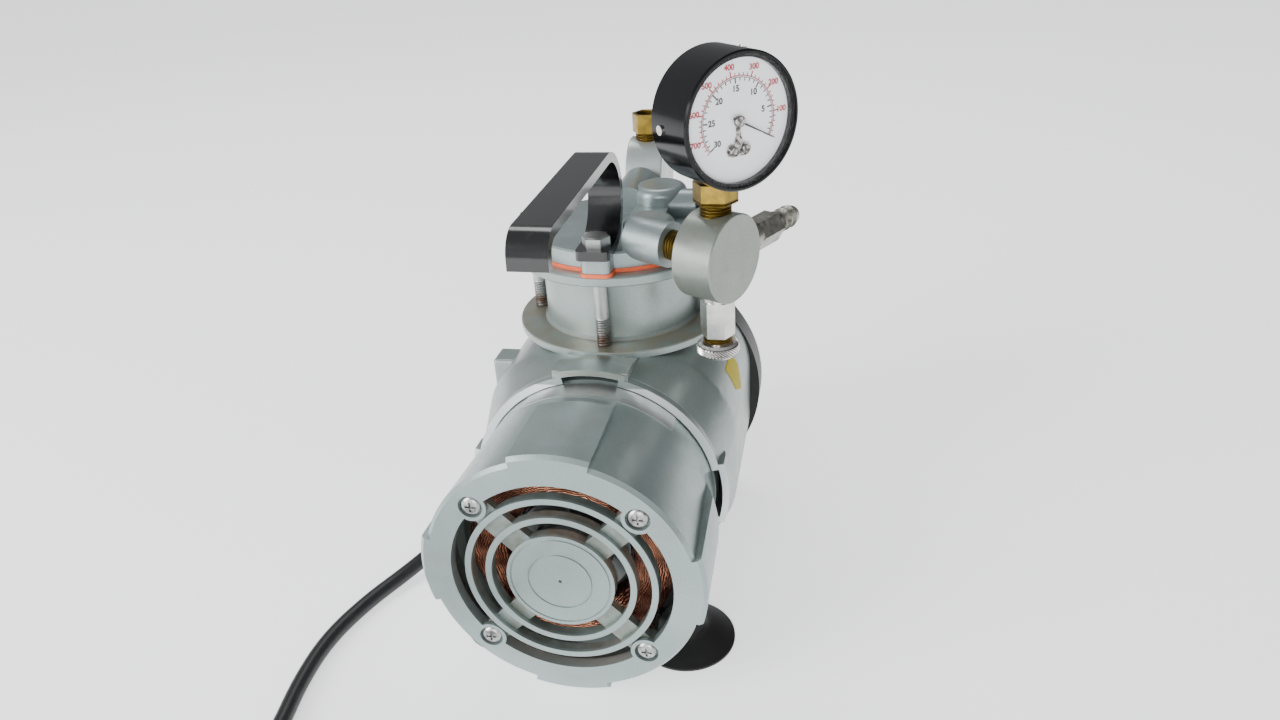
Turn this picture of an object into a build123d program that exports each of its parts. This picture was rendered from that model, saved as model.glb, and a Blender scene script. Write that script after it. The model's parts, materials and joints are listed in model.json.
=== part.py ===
"""Laboratory diaphragm vacuum pump with gauge, bleed valve, carrying handle and cord.

Working frame: the motor axis is the Y axis, the motor's front face is at Y = 0,
the ports are on the +X side and Z points up.  At the very end every piece is
moved so that the origin lies under the middle of the pump, on the floor.
"""
import os
from math import cos, pi, radians, sin, tan

from build123d import *

# ---- motor shell ---------------------------------------------------------
FACE_R = 57.0            # shell radius at the front face
LIP_R = 53.6             # shell radius where it meets the frame
SHELL_LENGTH = 66.8      # front face to the frame's machined lip
SPIGOT_R = 52.2
SPIGOT_LENGTH = 9.0
FACE_THICK = 5.0
LOBE_R = 59.4
LOBE_ARC = 32.0
LOBE_LENGTH = 42.0
LOBE_RUNOUT = 12.0
OPENING_R = 46.0
RING_RADII = [(40.0, 37.4), (31.3, 28.7)]
HUB_R = 22.4
SPOKE_WIDTH = 11.0
SPOKE_RECESS = 2.2
SCREW_CIRCLE_R = 47.3
POCKET_BOSS_R = 6.6
POCKET_R = 5.0
SHELL_SCREW_R = 1.9
SHELL_SCREW_END = 110.0  # the long screws end in the frame's partition
# ---- motor inside --------------------------------------------------------
CORE_R = 49.4
CORE_START = 26.0
CORE_LENGTH = 36.0
CORE_BORE_R = 25.6
AIR_GAP = 0.6
SLOT_COUNT = 16
SLOT_WIDTH = 4.0
SLOT_INNER_R = 28.0
SLOT_OUTER_R = 40.0
END_TURN_LENGTH = 12.0
# ---- shaft and bearings --------------------------------------------------
SHAFT_R = 7.0
FRONT_JOURNAL_R = 5.0
REAR_JOURNAL_R = 6.0
FAN_JOURNAL_R = 5.0
FRONT_BEARING = (7.0, 8.0, FRONT_JOURNAL_R, 13.0)    # start y, width, bore r, outer r
REAR_BEARING = (106.0, 10.0, REAR_JOURNAL_R, 16.0)
RUNNING = 0.03           # radial clearance of turning fits
# ---- frame ---------------------------------------------------------------
BARREL_START = 96.0
BARREL_END = 166.0
BARREL_WIDTH = 121.0
BARREL_HEIGHT = 108.0
BARREL_CORNER = 40.0
BARREL_WALL = 5.0
LIP_RING_R = 57.6
ARCH_R = 60.2
ARCH_ARC = 31.0
VENT_ARC = 26.0
VENT_R = 57.3
PARTITION_Y = 104.0
PARTITION_THICK = 8.0
REAR_WALL = 4.0
STICKER_GAP = 0.02
STICKER_THICK = 0.3
HEAD_Y = 138.5           # the head's vertical axis
LOWER_FLANGE_R = 50.8
LOWER_FLANGE_Z = 57.9
LOWER_FLANGE_THICK = 4.0
NECK_R = 37.2
NECK_BORE_R = 32.0
UPPER_FLANGE_R = 48.3
UPPER_FLANGE_Z = 93.3
UPPER_FLANGE_THICK = 4.4
# ---- crank, rod and diaphragm -------------------------------------------
THROW = 3.0
ECCENTRIC_R = 10.0
ROD_THICK = 10.0
ROD_BEARING_R = 16.0
ROD_EYE_R = 21.0
ROD_TOP_R = 20.0
ROD_WIDTH = 14.0
DIAPHRAGM_THICK = 1.7
DIAPHRAGM_OVERHANG = 0.6
RETAINER_R = 11.5
# ---- head ----------------------------------------------------------------
HEAD_R = 41.0
HEAD_THICK = 7.5
LUG_REACH = 48.0
LUG_WIDTH = 13.6
BOLT_CIRCLE_R = 42.0
BOLT_R = 3.15
BOLT_CLEARANCE = 0.25
BOLT_HEAD_AF = 11.1
BOLT_HEAD_H = 4.4
BOLT_TIP_Z = 58.4
PORT_Z = 106.2           # height of the ports above the motor axis
PORT_BOSS_R = 10.0
PORT_R = 6.6
PORT_DEPTH = 10.0
INLET_MOUTH = (32.9, 98.8)
INLET_TURN = 62.3        # inlet direction, degrees from the front towards the right
OUTLET_X = 3.0
OUTLET_MOUTH_Y = 183.0
SIDE_BOSS_R = 8.0
SIDE_BOSS_Y = 153.0
SIDE_BOSS_X = 36.5
PLUG_THREAD_R = 4.4
REAR_BOLT_TIP_Z = 98.8
VALVE_PLATE_R = 27.0
VALVE_PLATE_Z = 97.3
VALVE_PLATE_THICK = 2.4
INLET_VALVE = (12.5, 122.0)
OUTLET_VALVE = (6.0, 156.5)
FLAP_THICK = 0.5
FLAP_WIDTH = 8.0
FLAP_GAP = 0.05
FLAP_ROOT = 5.2          # valve hole to the flap's hinge line
FLAP_TIP = 4.2
CLAMP_LENGTH = 4.0
# ---- handle --------------------------------------------------------------
HANDLE_WIDTH = 15.2
HANDLE_THICK = 4.3
HANDLE_FRONT_Y = 7.5
HANDLE_BACK_Y = 119.0
HANDLE_TOP_Z = 144.2
HANDLE_FRONT_DROP = 1.8
HANDLE_END_Z = 131.0
HANDLE_FRONT_BEND = 8.0
# ---- manifolds and fittings ---------------------------------------------
BLOCK_R = 19.05
BLOCK_THICK = 19.05
NIPPLE_SHOWING = 14.0
BORE_R = 4.0
OUTLET_GAP = 6.0
HEX_AF = 12.7
BARB_HEX_START = 27.0
BARB_HEX_LENGTH = 16.0
BARB_LENGTH = 18.0
BARB_R = 4.6
# ---- gauge ---------------------------------------------------------------
GAUGE_TURN = 41.7        # which way the dial faces, degrees from the front
GAUGE_Z = 164.8
GAUGE_R = 26.3
GAUGE_WALL = 1.4
GAUGE_FRONT = 19.5       # in front of the stem's axis
GAUGE_BACK = 6.0
LENS_RECESS = 1.4
LENS_THICK = 0.8
DIAL_RECESS = 4.2
DIAL_THICK = 0.6
BEZEL_WIDTH = 1.5
GAUGE_STEM_AF = 16.2
POINTER_REST = -28.0     # zero mark, degrees above the dial's right-hand horizontal
POINTER_R = 19.0
STEM_NECK_R = 5.0
STEM_THREAD_SHOWING = 4.2
BRACKET_THICK = 0.6
BRACKET_SCREW = (3.0, -10.8)
BRACKET_SCREW_R = 1.6
BRACKET_LOBE_R = 2.5
PINION_Z = 3.0
PINION_R = 2.0
SECTOR_PIVOT = (-9.0, -8.0)
SECTOR_REST = 65.0
# ---- bleed valve ---------------------------------------------------------
VALVE_HEX_Z = 70.0
KNOB_R = 9.4
KNOB_TOP_Z = 66.6
KNOB_H = 6.1
STEM_R = 3.1
SPRING_WIRE = 0.7
SPRING_R = 3.4
SPRING_TURNS = 6
# ---- fan and guard -------------------------------------------------------
FAN_R = 45.0
FAN_START = 170.0
FAN_WIDTH = 9.0
BLADE_COUNT = 7
GUARD_R = 65.5
GUARD_TOP_Z = 53.0
GUARD_END = 183.5
GUARD_WALL = 2.3
# ---- feet ----------------------------------------------------------------
FLOOR_Z = -66.0
FRONT_FOOT = (42.0, 45.5)
REAR_FOOT = (24.0, 141.0)
CUP_R = 22.5
CUP_NECK_R = 9.0
STUD_R = 2.5
ARM_WIDTH = 12.0
ARM_THICK = 7.0
# ---- cord ----------------------------------------------------------------
CORD_R = 3.8
CORD_HEADING = (-0.72, -0.55, -0.42)
CORD_BOSS_START = (-50.0, 114.0, -30.0)
CORD_BOSS_LENGTH = 12.0
CORD_BOSS_R = 8.5
RELIEF_LENGTH = 24.0
CORD_ROUTE = [(-90.0, 83.4, -53.4), (-104.0, 66.0, -60.6), (-116.5, 43.0, -62.2),
              (-124.0, 16.0, -62.2), (-123.5, -11.0, -62.2), (-119.0, -37.0, -62.2),
              (-117.6, -61.0, -62.2), (-119.4, -84.0, -62.2)]
COIL_CENTRE = (-70.0, -104.0)
COIL_R = 42.0
COIL_LAYERS = 2
COIL_TURNS_WIDE = 3
TAIL_ROUTE = [(-50.0, -153.8, -54.6), (-30.0, -154.6, -55.6), (-10.0, -152.6, -55.9),
              (10.0, -154.0, -55.0)]
PLUG_R = 11.0
PLUG_LENGTH = 34.0

AXIS_Y = Plane(origin=(0, 0, 0), x_dir=(1, 0, 0), z_dir=(0, 1, 0))
nodes = {}


def turned(points):
    """Solid of revolution about the motor axis from (y, r) points."""
    return revolve(make_face(Polyline(*[(r, y) for y, r in points], close=True)), Axis.Y)


def sector(points, arc, centre):
    """Part turn about the motor axis of (y, r) points, centred on an angle above +X."""
    face = make_face(Polyline(*[(r, y) for y, r in points], close=True))
    return Rot(0, -centre - arc / 2, 0) * revolve(face, Axis.Y, arc)


def tube_y(outer, inner, start, end):
    return turned([(start, inner), (start, outer), (end, outer), (end, inner)])


def rod_y(radius, start, end, x=0.0, z=0.0):
    return Pos(x, 0, z) * turned([(start, 0), (start, radius), (end, radius), (end, 0)])


def upright(points, x, y):
    """Solid of revolution about a vertical line through (x, y) from (r, z) points."""
    return Pos(x, y, 0) * revolve(make_face(Plane.XZ * Polyline(*points, close=True)), Axis.Z)


def rod_z(radius, low, high, x=0.0, y=0.0):
    return upright([(0, low), (radius, low), (radius, high), (0, high)], x, y)


def rod_to(start, heading, radius, length):
    plane = Plane(origin=start, z_dir=heading)
    return plane * Cylinder(radius, length, align=(Align.CENTER, Align.CENTER, Align.MIN))


def hex_to(start, heading, across_flats, length):
    sketch = Plane(origin=start, z_dir=heading) * RegularPolygon(across_flats / 2, 6, major_radius=False)
    return extrude(sketch, length, dir=Vector(*heading).normalized())


def block(low, high):
    size = [b - a for a, b in zip(low, high)]
    middle = [(a + b) / 2 for a, b in zip(low, high)]
    return Pos(*middle) * Box(*size)


def facing(turn):
    """Horizontal direction, turned from the front (-Y) towards the right (+X)."""
    return (sin(radians(turn)), -cos(radians(turn)), 0.0)


def along(start, heading, distance):
    return tuple(a + b * distance for a, b in zip(start, heading))


def around(count, radius, first=0.0):
    for i in range(count):
        angle = radians(first + 360.0 * i / count)
        yield radius * cos(angle), radius * sin(angle)


# ---- motor shell: front bell with cast grille ------------------------------
def shell_radius(y):
    return FACE_R - (FACE_R - LIP_R) * y / SHELL_LENGTH


def make_shell():
    end = SHELL_LENGTH + SPIGOT_LENGTH
    shell = turned([(0, 0), (0, FACE_R - 1.6), (1.6, shell_radius(1.6)), (SHELL_LENGTH, LIP_R),
                    (SHELL_LENGTH, SPIGOT_R), (end, SPIGOT_R), (end, 0)])
    lobe_end = LOBE_LENGTH + LOBE_RUNOUT
    lobe = [(0, 50), (0, LOBE_R - 1.6), (1.6, LOBE_R), (LOBE_LENGTH, LOBE_R - 0.8),
            (lobe_end, shell_radius(lobe_end) - 0.2), (lobe_end, 50)]
    for centre in (0, 90, 180, 270):
        shell += sector(lobe, LOBE_ARC, centre)
    shell -= turned([(FACE_THICK, 0), (FACE_THICK, 52), (20, 52), (24, CORE_R), (end + 1, CORE_R),
                     (end + 1, 0)])
    shell -= rod_y(OPENING_R, -1, FACE_THICK + 1)
    for outer, inner in RING_RADII:
        shell += tube_y(outer, inner, 0, FACE_THICK)
    start, width, _, outer_r = FRONT_BEARING
    shell += rod_y(HUB_R, 0, FACE_THICK)
    shell += rod_y(outer_r + 3.5, FACE_THICK - 1, start + width)
    for angle in (45, 135, 225, 315):
        spoke = block((HUB_R - 4, SPOKE_RECESS, -SPOKE_WIDTH / 2),
                      (SCREW_CIRCLE_R, FACE_THICK + 1, SPOKE_WIDTH / 2))
        shell += Rot(0, angle, 0) * spoke
    for x, z in around(4, SCREW_CIRCLE_R, 45):
        shell += rod_y(POCKET_BOSS_R, 0, FACE_THICK + 2, x, z)
    for x, z in around(4, SCREW_CIRCLE_R, 45):
        shell -= rod_y(POCKET_R, -1, SPOKE_RECESS, x, z)
        shell -= rod_y(SHELL_SCREW_R, 0, FACE_THICK + 3, x, z)
    shell -= rod_y(outer_r, start, start + width + 1)
    for groove in (HUB_R - 1.8, 13.2):
        shell -= tube_y(groove + 0.4, groove - 0.4, -1, 0.5)
    shell -= rod_y(0.8, -1, 1.2)
    return shell


nodes["motor_shell"] = make_shell()


def make_shell_screw(x, z):
    head = Pos(x, 0, z) * turned([(SPOKE_RECESS, 0), (SPOKE_RECESS, 4.3), (1.0, 4.3), (0.2, 3.4),
                                  (-0.2, 2.0), (-0.2, 0)])
    for turn in (0, 90):
        head -= Pos(x, 0, z) * Rot(0, turn, 0) * block((-2.2, -1, -0.4), (2.2, 1.2, 0.4))
    return head + rod_y(SHELL_SCREW_R, SPOKE_RECESS - 0.1, SHELL_SCREW_END, x, z)


nodes["shell_screws"] = Compound([make_shell_screw(x, z) for x, z in around(4, SCREW_CIRCLE_R, 45)])

label_front = LOBE_LENGTH + LOBE_RUNOUT + 1.2
label_back = SHELL_LENGTH - 0.4
label_line = [(label_front, shell_radius(label_front)), (label_back, shell_radius(label_back))]
nodes["rating_plate"] = sector([label_line[0], (label_front, label_line[0][1] + 0.3),
                                (label_back, label_line[1][1] + 0.3), label_line[1]], 76, 84)


# ---- stator and windings ---------------------------------------------------
def slot_bars(start, end, extra):
    bars = []
    for i in range(SLOT_COUNT):
        bar = block((SLOT_INNER_R, start, -SLOT_WIDTH / 2 - extra),
                    (SLOT_OUTER_R + extra, end, SLOT_WIDTH / 2 + extra))
        bars.append(Rot(0, 360.0 * (i + 0.5) / SLOT_COUNT, 0) * bar)
    return bars


core_end = CORE_START + CORE_LENGTH
stator = tube_y(CORE_R, CORE_BORE_R, CORE_START, core_end)
stator -= slot_bars(CORE_START - 1, core_end + 1, 0.0)
for angle in (45, 135, 225, 315):
    notch = block((SCREW_CIRCLE_R - 2.5, CORE_START - 1, -2.3), (CORE_R + 1, core_end + 1, 2.3))
    stator -= Rot(0, angle, 0) * notch
nodes["stator_core"] = stator

turn_inner_r = SLOT_INNER_R - 0.6
front_turns = turned([(CORE_START - END_TURN_LENGTH + 3, turn_inner_r),
                      (CORE_START - END_TURN_LENGTH, turn_inner_r + 4),
                      (CORE_START - END_TURN_LENGTH, SLOT_OUTER_R + 1),
                      (CORE_START - END_TURN_LENGTH + 3, SLOT_OUTER_R + 4),
                      (CORE_START, SLOT_OUTER_R + 4), (CORE_START, turn_inner_r)])
back_turns = Pos(0, CORE_START + core_end, 0) * Rot(0, 0, 180) * front_turns
windings = front_turns + back_turns
windings += slot_bars(CORE_START - 0.5, core_end + 0.5, 0.0)
nodes["windings"] = windings


# ---- rotor and shaft --------------------------------------------------------
def make_rotor():
    radius = CORE_BORE_R - AIR_GAP
    rotor = rod_y(radius, CORE_START, core_end)
    for start, end in ((CORE_START - 4, CORE_START), (core_end, core_end + 4)):
        rotor += tube_y(radius - 0.5, radius - 8, start, end)
    for turn in range(0, 360, 45):
        rotor += Rot(0, turn, 0) * block((radius - 7.5, CORE_START - 7, -0.8),
                                         (radius - 1.5, CORE_START - 3.5, 0.8))
    return rotor - rod_y(SHAFT_R, CORE_START - 8, core_end + 8)


nodes["rotor"] = make_rotor()

front_start = FRONT_BEARING[0]
front_end = front_start + FRONT_BEARING[1]
rear_start = REAR_BEARING[0]
fan_seat = BARREL_END - REAR_WALL - 1
nodes["shaft"] = turned([(front_start, 0), (front_start, FRONT_JOURNAL_R - 0.5),
                         (front_start + 0.5, FRONT_JOURNAL_R),
                         (front_end, FRONT_JOURNAL_R), (front_end, SHAFT_R), (rear_start, SHAFT_R),
                         (rear_start, REAR_JOURNAL_R), (fan_seat, REAR_JOURNAL_R),
                         (fan_seat, FAN_JOURNAL_R),
                         (FAN_START + FAN_WIDTH, FAN_JOURNAL_R), (FAN_START + FAN_WIDTH, 0)])


def make_bearing(start, width, bore_r, outer_r):
    pitch_r = (bore_r + outer_r) / 2
    ball_r = (outer_r - bore_r) * 0.24
    middle = start + width / 2
    groove = Pos(0, middle, 0) * Rot(90, 0, 0) * Torus(pitch_r, ball_r + 0.06)
    outer = tube_y(outer_r, pitch_r + ball_r * 0.6, start, start + width) - groove
    inner = tube_y(pitch_r - ball_r * 0.6, bore_r, start, start + width) - groove
    balls = [Pos(x, middle, z) * Sphere(ball_r) for x, z in around(8, pitch_r)]
    return outer, inner, balls


front_outer, front_inner, front_balls = make_bearing(*FRONT_BEARING)
rear_outer, rear_inner, rear_balls = make_bearing(*REAR_BEARING)
nodes["bearing_outer_rings"] = Compound([front_outer, rear_outer])
nodes["bearing_inner_rings"] = Compound([front_inner, rear_inner])
nodes["bearing_balls"] = Compound(front_balls + rear_balls)


# ---- frame: lip, cone, barrel, pedestal and foot arms -----------------------
def barrel_section(y, shrink=0.0):
    return AXIS_Y.offset(y) * RectangleRounded(BARREL_WIDTH - 2 * shrink, BARREL_HEIGHT - 2 * shrink,
                                               BARREL_CORNER - shrink)


def make_frame_body():
    ring_width = 2 * LIP_RING_R
    ring = AXIS_Y.offset(SHELL_LENGTH + 4) * RectangleRounded(ring_width, ring_width, LIP_RING_R - 0.2)
    body = loft([ring, barrel_section(BARREL_START)])
    body += extrude(barrel_section(BARREL_START), BARREL_END - BARREL_START, dir=(0, 1, 0))
    body += rod_y(LIP_RING_R, SHELL_LENGTH, SHELL_LENGTH + 5)
    hood = [(SHELL_LENGTH, 50), (SHELL_LENGTH, ARCH_R), (SHELL_LENGTH + 8, ARCH_R),
            (BARREL_START - 6, LIP_RING_R - 1), (BARREL_START - 6, 50)]
    for centre in (0, 90, 180, 270):
        body += sector(hood, ARCH_ARC, centre)
    rib_side = [(SHELL_LENGTH + 1, 45), (SHELL_LENGTH + 1, ARCH_R - 1.5),
                (SHELL_LENGTH + 9, ARCH_R - 1.5),
                (BARREL_START, LOWER_FLANGE_Z - LOWER_FLANGE_THICK), (BARREL_START, 45)]
    body += Pos(-17, 0, 0) * extrude(make_face(Plane.YZ * Polyline(*rib_side, close=True)), 34,
                                     dir=(1, 0, 0))
    return body


def make_pedestal():
    flange_low = LOWER_FLANGE_Z - LOWER_FLANGE_THICK
    upper_low = UPPER_FLANGE_Z - UPPER_FLANGE_THICK
    root_r = BARREL_END - HEAD_Y
    return upright([(0, flange_low - 10), (root_r, flange_low - 10), (root_r, flange_low),
                    (LOWER_FLANGE_R - 0.6, flange_low), (LOWER_FLANGE_R, flange_low + 0.6),
                    (LOWER_FLANGE_R, LOWER_FLANGE_Z - 0.5), (LOWER_FLANGE_R - 0.5, LOWER_FLANGE_Z),
                    (NECK_R + 1.5, LOWER_FLANGE_Z), (NECK_R, LOWER_FLANGE_Z + 1.5),
                    (NECK_R, upper_low - 1), (NECK_R + 1, upper_low), (UPPER_FLANGE_R - 0.5, upper_low),
                    (UPPER_FLANGE_R, upper_low + 0.5), (UPPER_FLANGE_R, UPPER_FLANGE_Z - 0.5),
                    (UPPER_FLANGE_R - 0.5, UPPER_FLANGE_Z), (0, UPPER_FLANGE_Z)], 0, HEAD_Y)


def bolt_places():
    return [(x, HEAD_Y + y) for x, y in around(4, BOLT_CIRCLE_R, 270)]


front_bolt, _, rear_bolt, _ = bolt_places()


def foot_places():
    return [(side * x, y) for x, y in (FRONT_FOOT, REAR_FOOT) for side in (1, -1)]


def make_foot_arm(side):
    x, y = FRONT_FOOT
    low = -BARREL_HEIGHT / 2
    arm = block((x - ARM_WIDTH / 2, y, low), (x + ARM_WIDTH / 2, BARREL_START + 30, low + ARM_THICK))
    arm += rod_z(ARM_WIDTH / 2 + 0.5, low, low + ARM_THICK, x, y)
    return arm if side > 0 else mirror(arm, Plane.YZ)


def make_frame():
    start, width, _, outer_r = REAR_BEARING
    inner_end = BARREL_END - REAR_WALL
    chamber_start = PARTITION_Y + PARTITION_THICK
    frame = make_frame_body() + make_pedestal()
    for side in (1, -1):
        frame += make_foot_arm(side)
    lug = block((-BARREL_WIDTH / 2, 108, 19), (-36, 122, 41))
    frame += fillet(lug.edges(), 1.6)
    frame += rod_to(CORD_BOSS_START, CORD_HEADING, CORD_BOSS_R, CORD_BOSS_LENGTH)
    # the motor's end of the casting
    frame -= rod_y(LIP_R + 0.6, SHELL_LENGTH - 1, SHELL_LENGTH + 3)
    frame -= rod_y(SPIGOT_R, SHELL_LENGTH, SHELL_LENGTH + SPIGOT_LENGTH)
    frame -= rod_y(CORE_R, SHELL_LENGTH, PARTITION_Y)
    vent = [(SHELL_LENGTH - 1, LIP_R + 0.3), (SHELL_LENGTH - 1, VENT_R), (SHELL_LENGTH + 10, VENT_R),
            (SHELL_LENGTH + 19, 53), (SHELL_LENGTH + 19, CORE_R - 1), (SHELL_LENGTH + 10.5, CORE_R - 1),
            (SHELL_LENGTH + 10.5, LIP_R + 0.3)]
    for centre in (0, 90, 180, 270):
        frame -= sector(vent, VENT_ARC, centre)
    # crank chamber, its neck and the rear wall
    frame -= extrude(barrel_section(chamber_start, BARREL_WALL), inner_end - chamber_start, dir=(0, 1, 0))
    frame -= block((-28, chamber_start, 40), (28, inner_end, LOWER_FLANGE_Z - 1))
    frame -= rod_z(NECK_BORE_R, LOWER_FLANGE_Z - 1.5, UPPER_FLANGE_Z + 1, 0, HEAD_Y)
    frame += rod_y(outer_r + 5, chamber_start - 1, start + width + 2)
    frame -= rod_y(outer_r - 3, PARTITION_Y - 1, start + 1)
    frame -= rod_y(outer_r, start, start + width + 3)
    frame -= rod_y(14, inner_end - 1, BARREL_END + 1)
    for turn in range(0, 360, 45):
        slot = Rot(0, turn, 0) * block((20, inner_end - 1, -5), (38, BARREL_END + 1, 5))
        frame -= slot
    for x, y in bolt_places():
        frame -= rod_z(BOLT_R, UPPER_FLANGE_Z - UPPER_FLANGE_THICK - 1, UPPER_FLANGE_Z + 1, x, y)
    for x, y in foot_places():
        frame -= rod_z(STUD_R, -BARREL_HEIGHT / 2 - 1, -BARREL_HEIGHT / 2 + ARM_THICK + 1, x, y)
    for x, z in around(4, SCREW_CIRCLE_R, 45):
        frame -= rod_y(SHELL_SCREW_R, PARTITION_Y - 1, SHELL_SCREW_END, x, z)
    for x, y in foot_places():
        floor = -BARREL_HEIGHT / 2 + (ARM_THICK if y == FRONT_FOOT[1] else BARREL_WALL)
        frame -= rod_z(5.5, floor, floor + 5, x, y)
    for x, z in guard_screw_places():
        frame -= rod_y(2.0, BARREL_END - REAR_WALL - 1, BARREL_END + 1, x, z)
    low = UPPER_FLANGE_Z - UPPER_FLANGE_THICK
    frame -= rod_z(BOLT_HEAD_AF / 2 + 1.5, low - BOLT_HEAD_H - 0.5, low, *rear_bolt)
    cord_way = Vector(*CORD_HEADING).normalized()
    frame -= rod_to(along(CORD_BOSS_START, cord_way, -14), CORD_HEADING, CORD_R, 40)
    frame -= rod_to(along(CORD_BOSS_START, cord_way, CORD_BOSS_LENGTH), CORD_HEADING, CORD_BOSS_R, 12)
    return frame


def guard_screw_places():
    return [(sx * 42.0, sz * 33.0) for sx in (1, -1) for sz in (1, -1)]


frame = make_frame()
nodes["frame"] = frame

sticker_skin = (extrude(barrel_section(114, -STICKER_THICK), 22, dir=(0, 1, 0))
                - extrude(barrel_section(113, -STICKER_GAP), 24, dir=(0, 1, 0)))
sticker_outline = Plane.YZ * Polyline((116, 37), (133, 37), (135, 31), (125, 22), (115, 27), close=True)
nodes["caution_sticker"] = sticker_skin & extrude(make_face(sticker_outline), 80, dir=(1, 0, 0))


# ---- eccentric, counterweight, rod and diaphragm -----------------------------
rod_y0 = HEAD_Y - ROD_THICK / 2
rod_y1 = HEAD_Y + ROD_THICK / 2
eccentric = rod_y(ECCENTRIC_R, rod_y0 - 4, rod_y1 + 2, 0, THROW)
eccentric += rod_y(ECCENTRIC_R + 2, rod_y0 - 6, rod_y0 - 1, 0, 0)
weight = sector([(rod_y1 + 2, 5), (rod_y1 + 2, 34), (rod_y1 + 9, 34), (rod_y1 + 9, 5)], 130, 270)
weight += rod_y(ECCENTRIC_R + 2, rod_y1 + 2, rod_y1 + 9)
nodes["eccentric"] = eccentric - rod_y(REAR_JOURNAL_R, rod_y0 - 10, rod_y1 + 12)
nodes["counterweight"] = weight - rod_y(REAR_JOURNAL_R, rod_y0 - 10, rod_y1 + 12)
nodes["rod_bearing"] = Pos(0, 0, THROW) * tube_y(ROD_BEARING_R, ECCENTRIC_R + RUNNING, rod_y0, rod_y1)

rod_top = UPPER_FLANGE_Z
rod = rod_y(ROD_EYE_R, rod_y0, rod_y1, 0, THROW)
rod += block((-ROD_WIDTH / 2, rod_y0, THROW + 10), (ROD_WIDTH / 2, rod_y1, rod_top - 3))
rod += upright([(0, rod_top - 10), (8, rod_top - 10), (ROD_TOP_R, rod_top - 3.5), (ROD_TOP_R, rod_top),
                (0, rod_top)], 0, HEAD_Y)
rod -= rod_y(ROD_BEARING_R, rod_y0 - 1, rod_y1 + 1, 0, THROW)
rod -= rod_z(2.5, rod_top - 16, rod_top + 1, 0, HEAD_Y)
nodes["connecting_rod"] = rod


def clamp_outline(extra):
    outline = Circle(HEAD_R + extra)
    for turn in range(0, 360, 90):
        lug = Pos(LUG_REACH / 2, 0) * RectangleRounded(LUG_REACH + 2 * extra, LUG_WIDTH + 2 * extra,
                                                       3 + extra)
        outline += Rot(0, 0, turn) * lug
    return Pos(0, HEAD_Y, 0) * outline


head_low = UPPER_FLANGE_Z + DIAPHRAGM_THICK
head_top = head_low + HEAD_THICK
diaphragm = extrude(Pos(0, 0, UPPER_FLANGE_Z) * clamp_outline(DIAPHRAGM_OVERHANG), DIAPHRAGM_THICK)
for x, y in bolt_places():
    diaphragm -= rod_z(BOLT_R + BOLT_CLEARANCE, UPPER_FLANGE_Z - 1, head_low + 1, x, y)
nodes["diaphragm"] = diaphragm - rod_z(2.6, UPPER_FLANGE_Z - 1, head_low + 1, 0, HEAD_Y)
nodes["diaphragm_retainer"] = upright([(2.5, head_low), (RETAINER_R, head_low),
                                       (RETAINER_R - 1, head_low + 1.2),
                                       (2.5, head_low + 1.2)], 0, HEAD_Y)
clamp_screw = upright([(0, rod_top - 14), (2.5, rod_top - 14), (2.5, head_low + 1.2),
                       (4.5, head_low + 1.2),
                       (4.0, head_low + 2.0), (0, head_low + 2.0)], 0, HEAD_Y)
nodes["retainer_screw"] = clamp_screw


# ---- head with its valve chambers and ports ----------------------------------
up = (0.0, 0.0, 1.0)
down = (0.0, 0.0, -1.0)
inlet_heading = facing(INLET_TURN)
inward = tuple(-v for v in inlet_heading)
inlet_mouth = (INLET_MOUTH[0], INLET_MOUTH[1], PORT_Z)
outlet_mouth = (OUTLET_X, OUTLET_MOUTH_Y, PORT_Z)
side_mouth = (SIDE_BOSS_X, SIDE_BOSS_Y, PORT_Z)


def domed(radius, top, x, y, round_r=4.0):
    """Upright boss with a rounded top edge."""
    low = head_low + 2
    profile = Polyline((0, low), (radius, low), (radius, top - round_r))
    edge = RadiusArc((radius, top - round_r), (radius - round_r, top), -round_r)
    roof = Polyline((radius - round_r, top), (0, top), (0, low))
    return Pos(x, y, 0) * revolve(make_face(Plane.XZ * (Curve() + [profile, edge, roof])), Axis.Z)


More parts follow.
